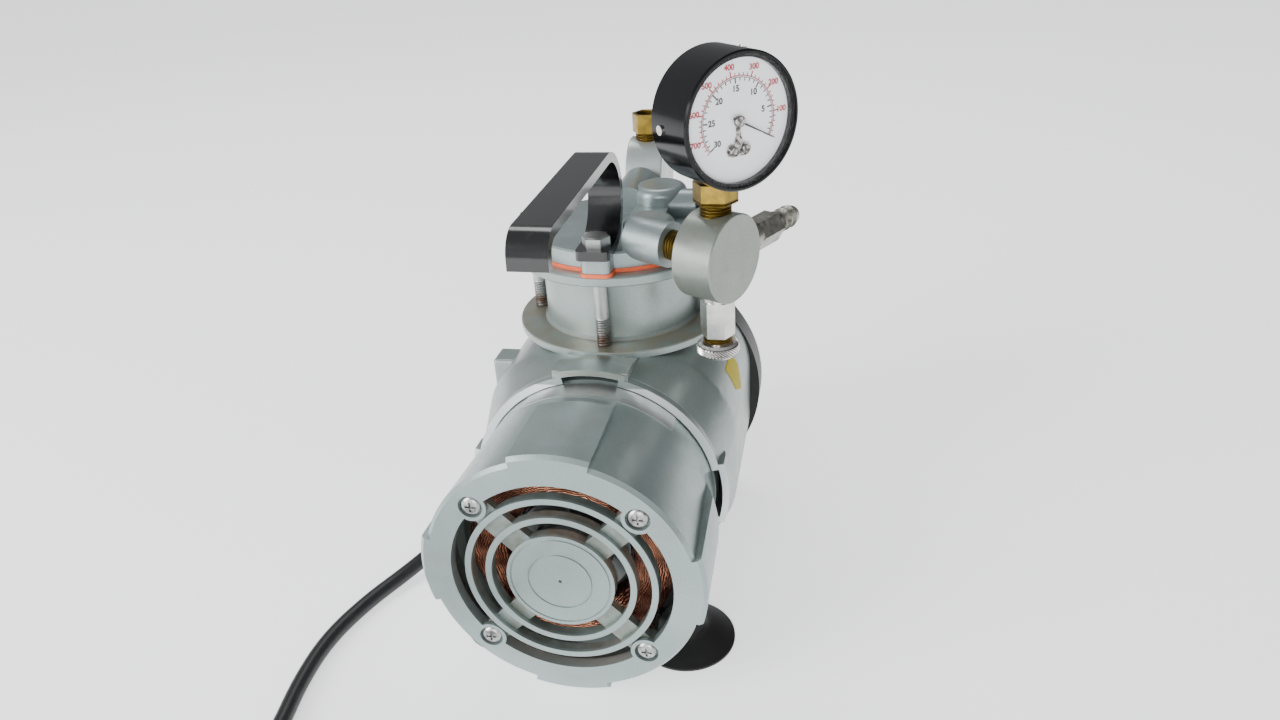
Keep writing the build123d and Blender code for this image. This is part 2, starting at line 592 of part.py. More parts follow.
def make_head():
    plate = extrude(Pos(0, 0, head_low) * clamp_outline(0.0), HEAD_THICK)
    head = chamfer(plate.faces().sort_by(Axis.Z)[-1].edges(), 0.8)
    head += domed(11.8, 112.5, 19.5, 117.5)
    head += domed(13.0, 115.6, 18, 157)
    head += rod_to(inlet_mouth, inward, PORT_BOSS_R, 20)
    head += rod_to(outlet_mouth, (0, -1, 0), PORT_BOSS_R, 34)
    head += rod_to(side_mouth, (-1, 0, 0), SIDE_BOSS_R, 22)
    head += block((7.8, 118, head_top - 2), (24, 152, 108))
    head -= rod_z(VALVE_PLATE_R, head_low - 1, VALVE_PLATE_Z + VALVE_PLATE_THICK, 0, HEAD_Y)
    plate_top = VALVE_PLATE_Z + VALVE_PLATE_THICK
    head -= rod_z(4.4, plate_top - 1, 107, INLET_VALVE[0] + 1.5, INLET_VALVE[1] - 2)
    channel = along(inlet_mouth, inward, 14)
    way = (INLET_VALVE[0] + 1.5 - channel[0], INLET_VALVE[1] - 2 - channel[1], 0)
    head -= rod_to(channel, way, 3.2, Vector(*way).length)
    x, y = OUTLET_VALVE
    head -= block((x - CLAMP_LENGTH - FLAP_ROOT - 0.6, y - 5, plate_top - 1),
                  (x + FLAP_TIP + 0.6, y + 5, 105.5))
    head -= rod_to(inlet_mouth, inward, PORT_R, PORT_DEPTH)
    head -= rod_to(inlet_mouth, inward, BORE_R, 16)
    head -= rod_to(outlet_mouth, (0, -1, 0), PORT_R, PORT_DEPTH)
    head -= rod_to(along(outlet_mouth, (0, 1, 0), 6), (0, -1, 0), PORT_R + 0.3, 6)
    head -= rod_to(outlet_mouth, (0, -1, 0), BORE_R, 24)
    head -= rod_to(along(side_mouth, (1, 0, 0), 3), (-1, 0, 0), PLUG_THREAD_R, 12)
    for x, y in bolt_places():
        if (x, y) == rear_bolt:
            head -= rod_z(BOLT_R, head_low - 1, REAR_BOLT_TIP_Z, x, y)
        else:
            head -= rod_z(BOLT_R + BOLT_CLEARANCE, head_low - 1, head_top + 1, x, y)
    return head


nodes["head"] = make_head()
nodes["side_port_plug"] = (rod_to(along(side_mouth, (-1, 0, 0), 8.5), (1, 0, 0), PLUG_THREAD_R, 10.5)
                           - hex_to(along(side_mouth, (1, 0, 0), -2), (1, 0, 0), 4.8, 5))

plate_top = VALVE_PLATE_Z + VALVE_PLATE_THICK
valve_plate = rod_z(VALVE_PLATE_R, VALVE_PLATE_Z, plate_top, 0, HEAD_Y)
for x, y in (INLET_VALVE, OUTLET_VALVE):
    valve_plate -= rod_z(2.6, VALVE_PLATE_Z - 1, plate_top + 1, x, y)
    valve_plate -= rod_z(1.2, VALVE_PLATE_Z - 1, plate_top + 1, x - FLAP_ROOT - CLAMP_LENGTH / 2, y)
nodes["valve_plate"] = valve_plate


def make_flap(place, low):
    """Free leaf of a reed valve; the clamp holds its root."""
    x, y = place
    return block((x - FLAP_ROOT, y - FLAP_WIDTH / 2, low),
                 (x + FLAP_TIP, y + FLAP_WIDTH / 2, low + FLAP_THICK))


def make_clamp(place, side):
    """Clamp bar and rivet on one face of the valve plate; side is +1 on top and -1 underneath."""
    x, y = place
    root = x - FLAP_ROOT - 0.12
    face = plate_top if side > 0 else VALVE_PLATE_Z
    low, high = sorted((face, face + side * (FLAP_THICK + 0.3)))
    clamp = block((root - CLAMP_LENGTH, y - FLAP_WIDTH / 2, low), (root, y + FLAP_WIDTH / 2, high))
    clamp += rod_z(1.15, VALVE_PLATE_Z, plate_top, x - FLAP_ROOT - CLAMP_LENGTH / 2, y)
    return clamp


nodes["inlet_flap"] = make_flap(INLET_VALVE, VALVE_PLATE_Z - FLAP_THICK - FLAP_GAP)
nodes["outlet_flap"] = make_flap(OUTLET_VALVE, plate_top + FLAP_GAP)
nodes["flap_clamps"] = Compound([make_clamp(INLET_VALVE, -1), make_clamp(OUTLET_VALVE, 1)])


# ---- head bolts and handle -----------------------------------------------------
def make_bolt(x, y, seat):
    """Long hexagon bolt through the head and the upper flange."""
    bolt = rod_z(BOLT_R, BOLT_TIP_Z, seat + 0.5, x, y)
    bolt += hex_to((x, y, seat), (0, 0, 1), BOLT_HEAD_AF, BOLT_HEAD_H - 0.5)
    crown = upright([(0, seat + 1), (BOLT_HEAD_AF / 2 + 0.4, seat + 1),
                     (BOLT_HEAD_AF / 2 + 0.4, seat + BOLT_HEAD_H - 0.9),
                     (BOLT_HEAD_AF / 2 - 0.8, seat + BOLT_HEAD_H), (0, seat + BOLT_HEAD_H)], x, y)
    top = hex_to((x, y, seat + 1), (0, 0, 1), BOLT_HEAD_AF, BOLT_HEAD_H) & crown
    return bolt + top


handle_seat = head_top + HANDLE_THICK
bolts = [make_bolt(x, y, handle_seat if (x, y) == front_bolt else head_top)
         for x, y in bolt_places() if (x, y) != rear_bolt]
rear_seat = UPPER_FLANGE_Z - UPPER_FLANGE_THICK
bolts.append(rod_z(BOLT_R, rear_seat - 0.5, REAR_BOLT_TIP_Z, *rear_bolt)
             + hex_to((rear_bolt[0], rear_bolt[1], rear_seat), down, BOLT_HEAD_AF, BOLT_HEAD_H))
nodes["head_bolts"] = Compound(bolts)

half_bar = HANDLE_THICK / 2
foot_z = head_top + half_bar
hoop_r = (HANDLE_TOP_Z - foot_z) / 2 - 0.1
handle_line = FilletPolyline((0, front_bolt[1] - 10, foot_z), (0, HANDLE_BACK_Y, foot_z),
                             (0, HANDLE_BACK_Y, HANDLE_TOP_Z),
                             (0, HANDLE_FRONT_Y, HANDLE_TOP_Z - HANDLE_FRONT_DROP),
                             (0, HANDLE_FRONT_Y - 0.8, HANDLE_END_Z),
                             radius=[hoop_r, hoop_r, HANDLE_FRONT_BEND])
handle_section = Plane(origin=handle_line @ 0, x_dir=(1, 0, 0),
                       z_dir=handle_line % 0) * Rectangle(HANDLE_WIDTH, HANDLE_THICK)
handle = sweep(handle_section, handle_line)
handle -= rod_z(BOLT_HEAD_AF / 2 + 1, handle_seat, handle_seat + 3, *front_bolt)
foot_corners = handle.edges().filter_by(Axis.Z).sort_by(Axis.Y)[:2]
handle = fillet(foot_corners, 2.5)
nodes["handle"] = handle - rod_z(BOLT_R + BOLT_CLEARANCE, head_top - 1, handle_seat + 1, *front_bolt)


# ---- manifold blocks, nipples and fittings --------------------------------------
def make_manifold(centre, heading, ports):
    """Round cast block, flat faces across the heading, with tapped ports."""
    half = BLOCK_THICK / 2
    profile = [(0, -half), (BLOCK_R - 0.5, -half), (BLOCK_R, 0.5 - half), (BLOCK_R, half - 0.5),
               (BLOCK_R - 0.5, half), (0, half)]
    disc = revolve(make_face(Plane.XZ * Polyline(*profile, close=True)), Axis.Z)
    body = Plane(origin=centre, z_dir=heading) * disc
    for direction, reach in ports:
        mouth = along(centre, direction, reach + 0.01)
        inward = tuple(-v for v in direction)
        body -= rod_to(mouth, inward, PORT_R, PORT_DEPTH * 0.9)
        body -= rod_to(mouth, inward, BORE_R, reach)
    return body


block_half = BLOCK_THICK / 2
inlet_centre = along(inlet_mouth, inlet_heading, NIPPLE_SHOWING + block_half)
barb_heading = (cos(radians(INLET_TURN)), sin(radians(INLET_TURN)), 0.0)
nodes["inlet_manifold"] = make_manifold(inlet_centre, inlet_heading,
                                        [(inward, block_half), (up, BLOCK_R), (down, BLOCK_R),
                                         (barb_heading, BLOCK_R)])
outlet_centre = (OUTLET_X, OUTLET_MOUTH_Y + OUTLET_GAP + BLOCK_R, PORT_Z)
nodes["outlet_manifold"] = make_manifold(outlet_centre, (1, 0, 0), [((0, -1, 0), BLOCK_R), (up, BLOCK_R)])


def make_nipple(start, heading, length):
    return rod_to(start, heading, PORT_R, length) - rod_to(start, heading, BORE_R, length)


buried = PORT_DEPTH + PORT_DEPTH * 0.9 - 0.5
inlet_nipple = make_nipple(along(inlet_mouth, inlet_heading, -PORT_DEPTH), inlet_heading,
                           NIPPLE_SHOWING + buried)
outlet_nipple = make_nipple(along(outlet_mouth, (0, 1, 0), -PORT_DEPTH), (0, 1, 0), OUTLET_GAP + buried)
nodes["pipe_nipples"] = Compound([inlet_nipple, outlet_nipple])

fitting_low = PORT_Z + BLOCK_R - PORT_DEPTH * 0.9 + 0.5
fitting_hex = PORT_Z + BLOCK_R + 3.0
fitting_top = fitting_hex + 10.0
outlet_fitting = rod_z(PORT_R, fitting_low, fitting_hex + 1, *outlet_centre[:2])
outlet_fitting += hex_to((outlet_centre[0], outlet_centre[1], fitting_hex), up, 14.3,
                         fitting_top - fitting_hex)
outlet_fitting -= rod_z(BORE_R, fitting_low - 1, fitting_top + 1, *outlet_centre[:2])
outlet_fitting -= rod_z(5.6, fitting_top - 9, fitting_top + 1, *outlet_centre[:2])
nodes["outlet_fitting"] = outlet_fitting


def make_barb():
    tail = BLOCK_R - PORT_DEPTH * 0.9 + 0.5
    barb_start = BARB_HEX_START + BARB_HEX_LENGTH
    barb = rod_to(along(inlet_centre, barb_heading, tail), barb_heading, PORT_R,
                  BARB_HEX_START + 1 - tail)
    barb += hex_to(along(inlet_centre, barb_heading, BARB_HEX_START), barb_heading, HEX_AF,
                   BARB_HEX_LENGTH)
    ridge = BARB_LENGTH / 4
    profile = [(0, -1), (BARB_R - 0.6, -1), (BARB_R - 0.6, ridge)]
    for i in (1, 2, 3):
        profile += [(BARB_R + 0.7, i * ridge), (BARB_R - 0.6, (i + 1) * ridge)]
    profile += [(0, BARB_LENGTH)]
    tip = revolve(make_face(Plane.XZ * Polyline(*profile, close=True)), Axis.Z)
    barb += Plane(origin=along(inlet_centre, barb_heading, barb_start), z_dir=barb_heading) * tip
    return barb - rod_to(along(inlet_centre, barb_heading, tail - 1), barb_heading, 2.6, 60)


nodes["hose_barb"] = make_barb()


# ---- bleed valve under the inlet manifold ------------------------------------------
valve_x, valve_y = inlet_centre[:2]
valve_top = PORT_Z - BLOCK_R
valve_body = rod_z(PORT_R, valve_top - 1, valve_top + PORT_DEPTH * 0.9 - 0.5, valve_x, valve_y)
valve_body += hex_to((valve_x, valve_y, VALVE_HEX_Z), up, HEX_AF + 0.3, valve_top - 0.8 - VALVE_HEX_Z)
valve_body -= rod_z(4.4, VALVE_HEX_Z - 1, 92, valve_x, valve_y)
valve_body -= rod_z(1.6, 91, 100, valve_x, valve_y)
valve_body -= rod_to((valve_x, valve_y, VALVE_HEX_Z + 4), barb_heading, 0.9, 12)
nodes["bleed_valve_body"] = valve_body
bush_low = KNOB_TOP_Z + 0.8
nodes["bleed_bush"] = upright([(STEM_R + RUNNING, bush_low), (6.4, bush_low), (6.4, VALVE_HEX_Z),
                               (4.4, VALVE_HEX_Z),
                               (4.4, VALVE_HEX_Z + 3), (STEM_R + RUNNING, VALVE_HEX_Z + 3)], valve_x,
                              valve_y)
stem_low = KNOB_TOP_Z - KNOB_H + 1.8
stem_shoulder = 79.0
nodes["bleed_stem"] = upright([(0, stem_low), (STEM_R, stem_low), (STEM_R, stem_shoulder - 1.2),
                               (4.0, stem_shoulder - 1.2),
                               (4.0, stem_shoulder), (1.5, stem_shoulder), (1.5, 89), (0.3, 91.5),
                               (0, 91.5)], valve_x, valve_y)
knob_low = KNOB_TOP_Z - KNOB_H
nodes["bleed_knob"] = upright([(0, knob_low), (KNOB_R - 1.8, knob_low), (KNOB_R, knob_low + 1.4),
                               (KNOB_R, KNOB_TOP_Z - 0.8),
                               (KNOB_R - 0.8, KNOB_TOP_Z), (STEM_R + RUNNING, KNOB_TOP_Z),
                               (STEM_R + RUNNING, stem_low - 0.2),
                               (0, stem_low - 0.2)], valve_x, valve_y)
spring_low = stem_shoulder + 0.1 + SPRING_WIRE / 2
spring_high = 92 - 0.1 - SPRING_WIRE / 2
spring_line = Helix((spring_high - spring_low) / SPRING_TURNS, spring_high - spring_low, SPRING_R,
                    center=(valve_x, valve_y, spring_low))
spring_end = Plane(origin=spring_line @ 0, z_dir=spring_line % 0) * Circle(SPRING_WIRE / 2)
nodes["bleed_spring"] = sweep(spring_end, spring_line, is_frenet=True)


# ---- gauge: case, dial, movement and lens --------------------------------------------
gauge_face = facing(GAUGE_TURN)
gauge_right = (cos(radians(GAUGE_TURN)), sin(radians(GAUGE_TURN)), 0.0)
gauge_plane = Plane(origin=(valve_x, valve_y, GAUGE_Z), x_dir=gauge_right, z_dir=gauge_face)
lens_back = GAUGE_FRONT - LENS_RECESS
dial_back = GAUGE_FRONT - DIAL_RECESS


def dial_turned(points):
    """Solid of revolution about the dial's axis from (r, depth) points."""
    return gauge_plane * revolve(make_face(Plane.XZ * Polyline(*points, close=True)), Axis.Z)


def dial_disc(radius, low, high, x=0.0, y=0.0):
    return gauge_plane * (Pos(x, y, (low + high) / 2) * Cylinder(radius, high - low))


inner_r = GAUGE_R - GAUGE_WALL
case = dial_turned([(0, -GAUGE_BACK), (GAUGE_R - 2.5, -GAUGE_BACK), (GAUGE_R, 2.5 - GAUGE_BACK),
                    (GAUGE_R, GAUGE_FRONT - 0.6),
                    (GAUGE_R - 0.6, GAUGE_FRONT), (inner_r, GAUGE_FRONT), (inner_r, 1.5 - GAUGE_BACK),
                    (0, 1.5 - GAUGE_BACK)])
stem_top = GAUGE_Z - GAUGE_R + 9
hex_top = GAUGE_Z - GAUGE_R - 0.4
hex_low = PORT_Z + BLOCK_R + STEM_THREAD_SHOWING
case -= rod_z(STEM_NECK_R, GAUGE_Z - GAUGE_R - 3, stem_top, valve_x, valve_y)
nodes["gauge_case"] = case
stem = rod_z(PORT_R, fitting_low, hex_low + 1, valve_x, valve_y)
stem += hex_to((valve_x, valve_y, hex_low), up, GAUGE_STEM_AF, hex_top - hex_low)
stem += rod_z(STEM_NECK_R, hex_top - 1, stem_top, valve_x, valve_y)
nodes["gauge_stem"] = stem - rod_z(1.6, fitting_low - 1, stem_top - 3, valve_x, valve_y)
dial_face = dial_back + DIAL_THICK
lens_front = lens_back + LENS_THICK
bezel_r = inner_r - BEZEL_WIDTH
nodes["gauge_dial"] = dial_turned([(1.6, dial_back), (inner_r, dial_back), (inner_r, dial_face),
                                   (1.6, dial_face)])
nodes["gauge_lens"] = dial_turned([(0, lens_back), (inner_r, lens_back), (inner_r, lens_front),
                                   (0, lens_front)])
nodes["gauge_ring"] = dial_turned([(bezel_r, dial_face), (inner_r, dial_face), (inner_r, lens_back),
                                   (bezel_r, lens_back)])


def make_pointer():
    z0 = dial_face + 0.8
    needle = Polyline((-3, -0.5), (0, -0.45), (POINTER_R, -0.1), (POINTER_R, 0.1), (0, 0.45), (-3, 0.5),
                      close=True)
    blade = extrude(Rot(0, 0, POINTER_REST) * (Pos(0, 0, z0) * make_face(needle)), 0.3)
    pointer = gauge_plane * blade
    pointer += dial_disc(2.1, z0 - 0.4, z0 + 1.0)
    return pointer + dial_disc(0.9, 2.0, z0)


nodes["gauge_pointer"] = make_pointer()
screw_x, screw_y = BRACKET_SCREW
lobes_low = screw_y - BRACKET_LOBE_R
web = Polyline((-screw_x, lobes_low), (screw_x, lobes_low), (1.4, -6.0), (-1.4, -6.0), close=True)
bracket_outline = make_face(web) + Pos(0, -5.1) * Rectangle(2.0, 5.8)
for x in (-screw_x, screw_x):
    bracket_outline += Pos(x, screw_y) * Circle(BRACKET_LOBE_R)
bracket = gauge_plane * extrude(Pos(0, 0, dial_face) * bracket_outline, BRACKET_THICK)
for x in (-screw_x, screw_x):
    bracket += dial_disc(BRACKET_SCREW_R, dial_face, dial_face + BRACKET_THICK + 0.8, x, screw_y)
nodes["dial_bracket"] = bracket

pinion = dial_disc(PINION_R, PINION_Z, PINION_Z + 2.0)
nodes["gauge_pinion"] = pinion - dial_disc(0.9, PINION_Z - 1, PINION_Z + 3)
sector_r = (SECTOR_PIVOT[0] ** 2 + SECTOR_PIVOT[1] ** 2) ** 0.5 - PINION_R - 0.15
wedge = Polyline((0, -1.5), (sector_r + 4, -7.2), (sector_r + 4, 7.2), (0, 1.5), close=True)
sector_gear = (Circle(sector_r) & make_face(wedge)) + Circle(2.4)
sector_place = Pos(*SECTOR_PIVOT, PINION_Z + 0.2) * Rot(0, 0, SECTOR_REST)
nodes["gauge_sector"] = (gauge_plane * extrude(sector_place * sector_gear, 1.5)
                         - dial_disc(0.9 + RUNNING, PINION_Z - 2, PINION_Z + 4, *SECTOR_PIVOT))
movement = gauge_plane * (Pos(-1.5, -9.5, 1.0) * Box(20, 10, 1.6))
movement += dial_disc(0.9, 0.5, PINION_Z + 2.4, *SECTOR_PIVOT)
movement += dial_disc(2.6, -2.0, 1.0, 0, -9.5)
movement -= dial_disc(1.3, -5, 8, 0, 0)
nodes["movement_plate"] = movement
tube_line = CenterArc((0, 0), 19.0, -80, 250)
tube_section = Plane(origin=tube_line @ 0, z_dir=tube_line % 0, x_dir=(0, 0, 1)) * Ellipse(2.8, 1.2)
bourdon = Pos(0, 0, -1.2) * sweep(tube_section, tube_line)
nodes["bourdon_tube"] = gauge_plane * bourdon
rivets = []
for turn in (183, 63, -57):
    x, y = cos(radians(turn)), sin(radians(turn))
    spot = gauge_plane.from_local_coords(Vector(x * (GAUGE_R - 0.2), y * (GAUGE_R - 0.2), 3.0))
    way = gauge_plane.from_local_coords(Vector(x, y, 0)) - gauge_plane.origin
    rivets.append(rod_to(tuple(spot), tuple(way), 1.9, 1.0) - dial_disc(GAUGE_R, 0, 6))
nodes["case_rivets"] = Compound(rivets)


# ---- fan and its guard -------------------------------------------------------------
def make_fan():
    fan = rod_y(11, FAN_START, FAN_START + FAN_WIDTH)
    for i in range(BLADE_COUNT):
        blade = Rot(35, 0, 0) * block((9, -6.2, -0.8), (FAN_R, 6.2, 0.8))
        fan += Rot(0, 360.0 * i / BLADE_COUNT, 0) * (Pos(0, FAN_START + FAN_WIDTH / 2, 0) * blade)
    trim = rod_y(FAN_R, FAN_START, FAN_START + FAN_WIDTH)
    return (fan & trim) - rod_y(FAN_JOURNAL_R, FAN_START - 1, FAN_START + FAN_WIDTH + 1)


nodes["fan"] = make_fan()


def make_guard():
    rear = GUARD_END - GUARD_WALL
    outer = turned([(BARREL_END, 0), (BARREL_END, GUARD_R), (GUARD_END - 2, GUARD_R),
                    (GUARD_END, GUARD_R - 2), (GUARD_END, 0)])
    guard = outer & block((-70, 150, -70), (70, 200, GUARD_TOP_Z))
    hollow = rod_y(GUARD_R - GUARD_WALL, BARREL_END + 2.5, rear) & block((-70, 150, -70),
                                                                         (70, 200,
                                                                          GUARD_TOP_Z - GUARD_WALL))
    guard -= hollow
    guard -= rod_y(50, BARREL_END - 1, BARREL_END + 3)
    for outer_r, inner_r in ((48, 42), (39, 33), (30, 24), (21, 15)):
        guard -= tube_y(outer_r, inner_r, rear - 1, GUARD_END + 1)
    for turn in (0, 60, 120):
        guard += Rot(0, turn, 0) * block((-49, rear, -2.5), (49, GUARD_END, 2.5))
    for x, z in guard_screw_places():
        guard += rod_y(4.2, BARREL_END, GUARD_END, x, z)
    for x, z in guard_screw_places():
        guard -= rod_y(2.0, BARREL_END - 1, GUARD_END + 1, x, z)
        guard -= rod_y(3.6, GUARD_END - 1.5, GUARD_END + 1, x, z)
    return guard


nodes["fan_guard"] = make_guard()
nodes["guard_screws"] = Compound([rod_y(2.0, BARREL_END - REAR_WALL, GUARD_END - 1, x, z)
                                  + rod_y(3.5, GUARD_END - 1.5, GUARD_END + 0.6, x, z)
                                  - block((x - 3, GUARD_END - 0.3, z - 0.4),
                                          (x + 3, GUARD_END + 2, z + 0.4))
                                  for x, z in guard_screw_places()])


# ---- feet --------------------------------------------------------------------------
def make_cup(x, y):
    low = FLOOR_Z
    high = -BARREL_HEIGHT / 2
    cup = upright([(0, low + 3.4), (9, low + 3.0), (CUP_R - 4, low + 1.2), (CUP_R - 1.5, low),
                   (CUP_R, low),
                   (CUP_R, low + 1.0), (CUP_R - 5, low + 3.6), (CUP_NECK_R + 2, low + 6.5),
                   (CUP_NECK_R, low + 8.5),
                   (CUP_NECK_R, high), (0, high)], x, y)
    return cup - rod_z(STUD_R, low + 6, high + 1, x, y)


def make_stud(x, y):
    return rod_z(STUD_R, FLOOR_Z + 6, -BARREL_HEIGHT / 2 + ARM_THICK + 4, x, y)


def make_nut(x, y):
    seat = -BARREL_HEIGHT / 2 + (ARM_THICK if y == FRONT_FOOT[1] else BARREL_WALL)
    return hex_to((x, y, seat), up, 8.0, 3.5) - rod_z(STUD_R, seat - 1, seat + 5, x, y)


nodes["suction_feet"] = Compound([make_cup(x, y) for x, y in foot_places()])
nodes["foot_studs_and_nuts"] = Compound([make(x, y) for x,
                                         y in foot_places() for make in (make_stud, make_nut)])


# ---- cord, its strain relief, coil and plug -------------------------------------------
heading = tuple(Vector(*CORD_HEADING).normalized())
boss_end = along(CORD_BOSS_START, heading, CORD_BOSS_LENGTH)
cord_exit = along(boss_end, heading, RELIEF_LENGTH)
relief_face = Plane(origin=boss_end, z_dir=heading)
relief_shape = revolve(make_face(Plane.XZ * Polyline((0, -10), (CORD_R, -10), (CORD_R, 0), (8.0, 0),
                                                     (8.0, 3), (6.6, 4),
                                                     (CORD_R + 1.0, RELIEF_LENGTH), (0, RELIEF_LENGTH),
                                                     close=True)), Axis.Z)
nodes["strain_relief"] = relief_face * relief_shape


def cord_tube(points):
    """Tube of straight runs joined by arcs as large as the runs allow."""
    spots = [Vector(*p) for p in points]
    radii = []
    for before, here, after in zip(spots, spots[1:], spots[2:]):
        turn = radians((here - before).get_angle(after - here))
        radii.append(0.45 * min((here - before).length, (after - here).length) / tan(turn / 2))
    line = FilletPolyline(*spots, radius=radii)
    tube = sweep(Plane(origin=line @ 0, z_dir=line % 0) * Circle(CORD_R), line)
    print("cord radii", [round(r) for r in radii], "length", round(line.length, 1),
          "volume ratio", round(tube.volume / (pi * CORD_R ** 2 * line.length), 4))
    return tube


nodes["cord_lead"] = cord_tube([cord_exit] + CORD_ROUTE)
coil_half = CORD_R * COIL_TURNS_WIDE
coil_low = FLOOR_Z
coil_high = FLOOR_Z + 2 * CORD_R * COIL_LAYERS
nodes["cord_coil"] = upright([(COIL_R - coil_half, coil_low), (COIL_R + coil_half, coil_low),
                              (COIL_R + coil_half, coil_high),
                              (COIL_R - coil_half, coil_high)], *COIL_CENTRE)
nodes["cord_tail"] = cord_tube(TAIL_ROUTE)
plug_start = TAIL_ROUTE[-1]
plug_relief = 14.0
plug_face = Plane(origin=plug_start, z_dir=(1, 0, 0))
plug_profile = [(0, 0), (CORD_R + 1.2, 0), (6.5, plug_relief), (PLUG_R - 1, plug_relief + 4),
                (PLUG_R, plug_relief + 8),
                (PLUG_R, PLUG_LENGTH), (0, PLUG_LENGTH)]
plug = plug_face * revolve(make_face(Plane.XZ * Polyline(*plug_profile, close=True)), Axis.Z)
nodes["plug_body"] = plug
pin_x = plug_start[0] + PLUG_LENGTH
_, plug_y, plug_z = plug_start
blades = [block((pin_x, plug_y + side * 6.35 - 0.75, plug_z - 5.2),
                (pin_x + 17, plug_y + side * 6.35 + 0.75, plug_z + 1.2))
          for side in (1, -1)]
blades.append(rod_to((pin_x, plug_y, plug_z + 6.6), (1, 0, 0), 2.4, 19))
nodes["plug_blades"] = Compound(blades)

# ---- place everything over the origin and write it out ---------------------------------
CORD_NODES = ("cord_lead", "cord_coil", "cord_tail", "plug_body", "plug_blades")
body_box = Compound([shape for name, shape in nodes.items() if name not in CORD_NODES]).bounding_box()
shift = (-(body_box.min.X + body_box.max.X) / 2, -(body_box.min.Y + body_box.max.Y) / 2, -body_box.min.Z)
print("shift", [round(v, 4) for v in shift])
print("inlet block centre", inlet_centre, "cord exit", cord_exit)
os.makedirs("parts", exist_ok=True)
for name, shape in nodes.items():
    export_step(Pos(*shift) * shape, f"parts/{name}.step")
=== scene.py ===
import json
from math import cos, pi, radians, sin, tau

import bmesh
import bpy
from mathutils import Matrix, Vector


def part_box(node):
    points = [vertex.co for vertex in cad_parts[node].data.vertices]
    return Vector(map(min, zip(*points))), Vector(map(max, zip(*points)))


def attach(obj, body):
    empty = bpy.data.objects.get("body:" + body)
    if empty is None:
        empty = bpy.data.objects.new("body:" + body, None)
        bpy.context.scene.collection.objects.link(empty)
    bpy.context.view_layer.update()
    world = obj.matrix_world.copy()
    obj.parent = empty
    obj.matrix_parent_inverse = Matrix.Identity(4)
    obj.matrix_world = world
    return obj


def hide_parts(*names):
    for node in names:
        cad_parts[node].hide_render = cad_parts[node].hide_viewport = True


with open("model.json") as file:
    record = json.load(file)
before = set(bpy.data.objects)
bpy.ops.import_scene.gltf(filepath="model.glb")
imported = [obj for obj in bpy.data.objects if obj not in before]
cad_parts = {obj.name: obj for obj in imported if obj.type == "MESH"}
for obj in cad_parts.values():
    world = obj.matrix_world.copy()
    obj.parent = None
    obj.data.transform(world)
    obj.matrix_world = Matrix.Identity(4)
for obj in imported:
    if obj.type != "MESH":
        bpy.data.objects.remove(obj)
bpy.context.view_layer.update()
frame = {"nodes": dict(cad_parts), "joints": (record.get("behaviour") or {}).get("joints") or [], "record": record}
node = frame["nodes"]
joint = {j["name"]: j for j in frame["joints"]}
MM = 0.001


# ---- Bench, camera and studio light ----------------------------------------------------
# The pump stands on a pale bench and is seen from above its grille end, a little
# to the right.  Large soft panels light it from the upper left and from behind.
def linear(colour):
    """sRGB hex to linear RGBA."""
    parts = [int(colour[i:i + 2], 16) / 255 for i in (1, 3, 5)]
    return [v / 12.92 if v < 0.04045 else ((v + 0.055) / 1.055) ** 2.4 for v in parts] + [1.0]


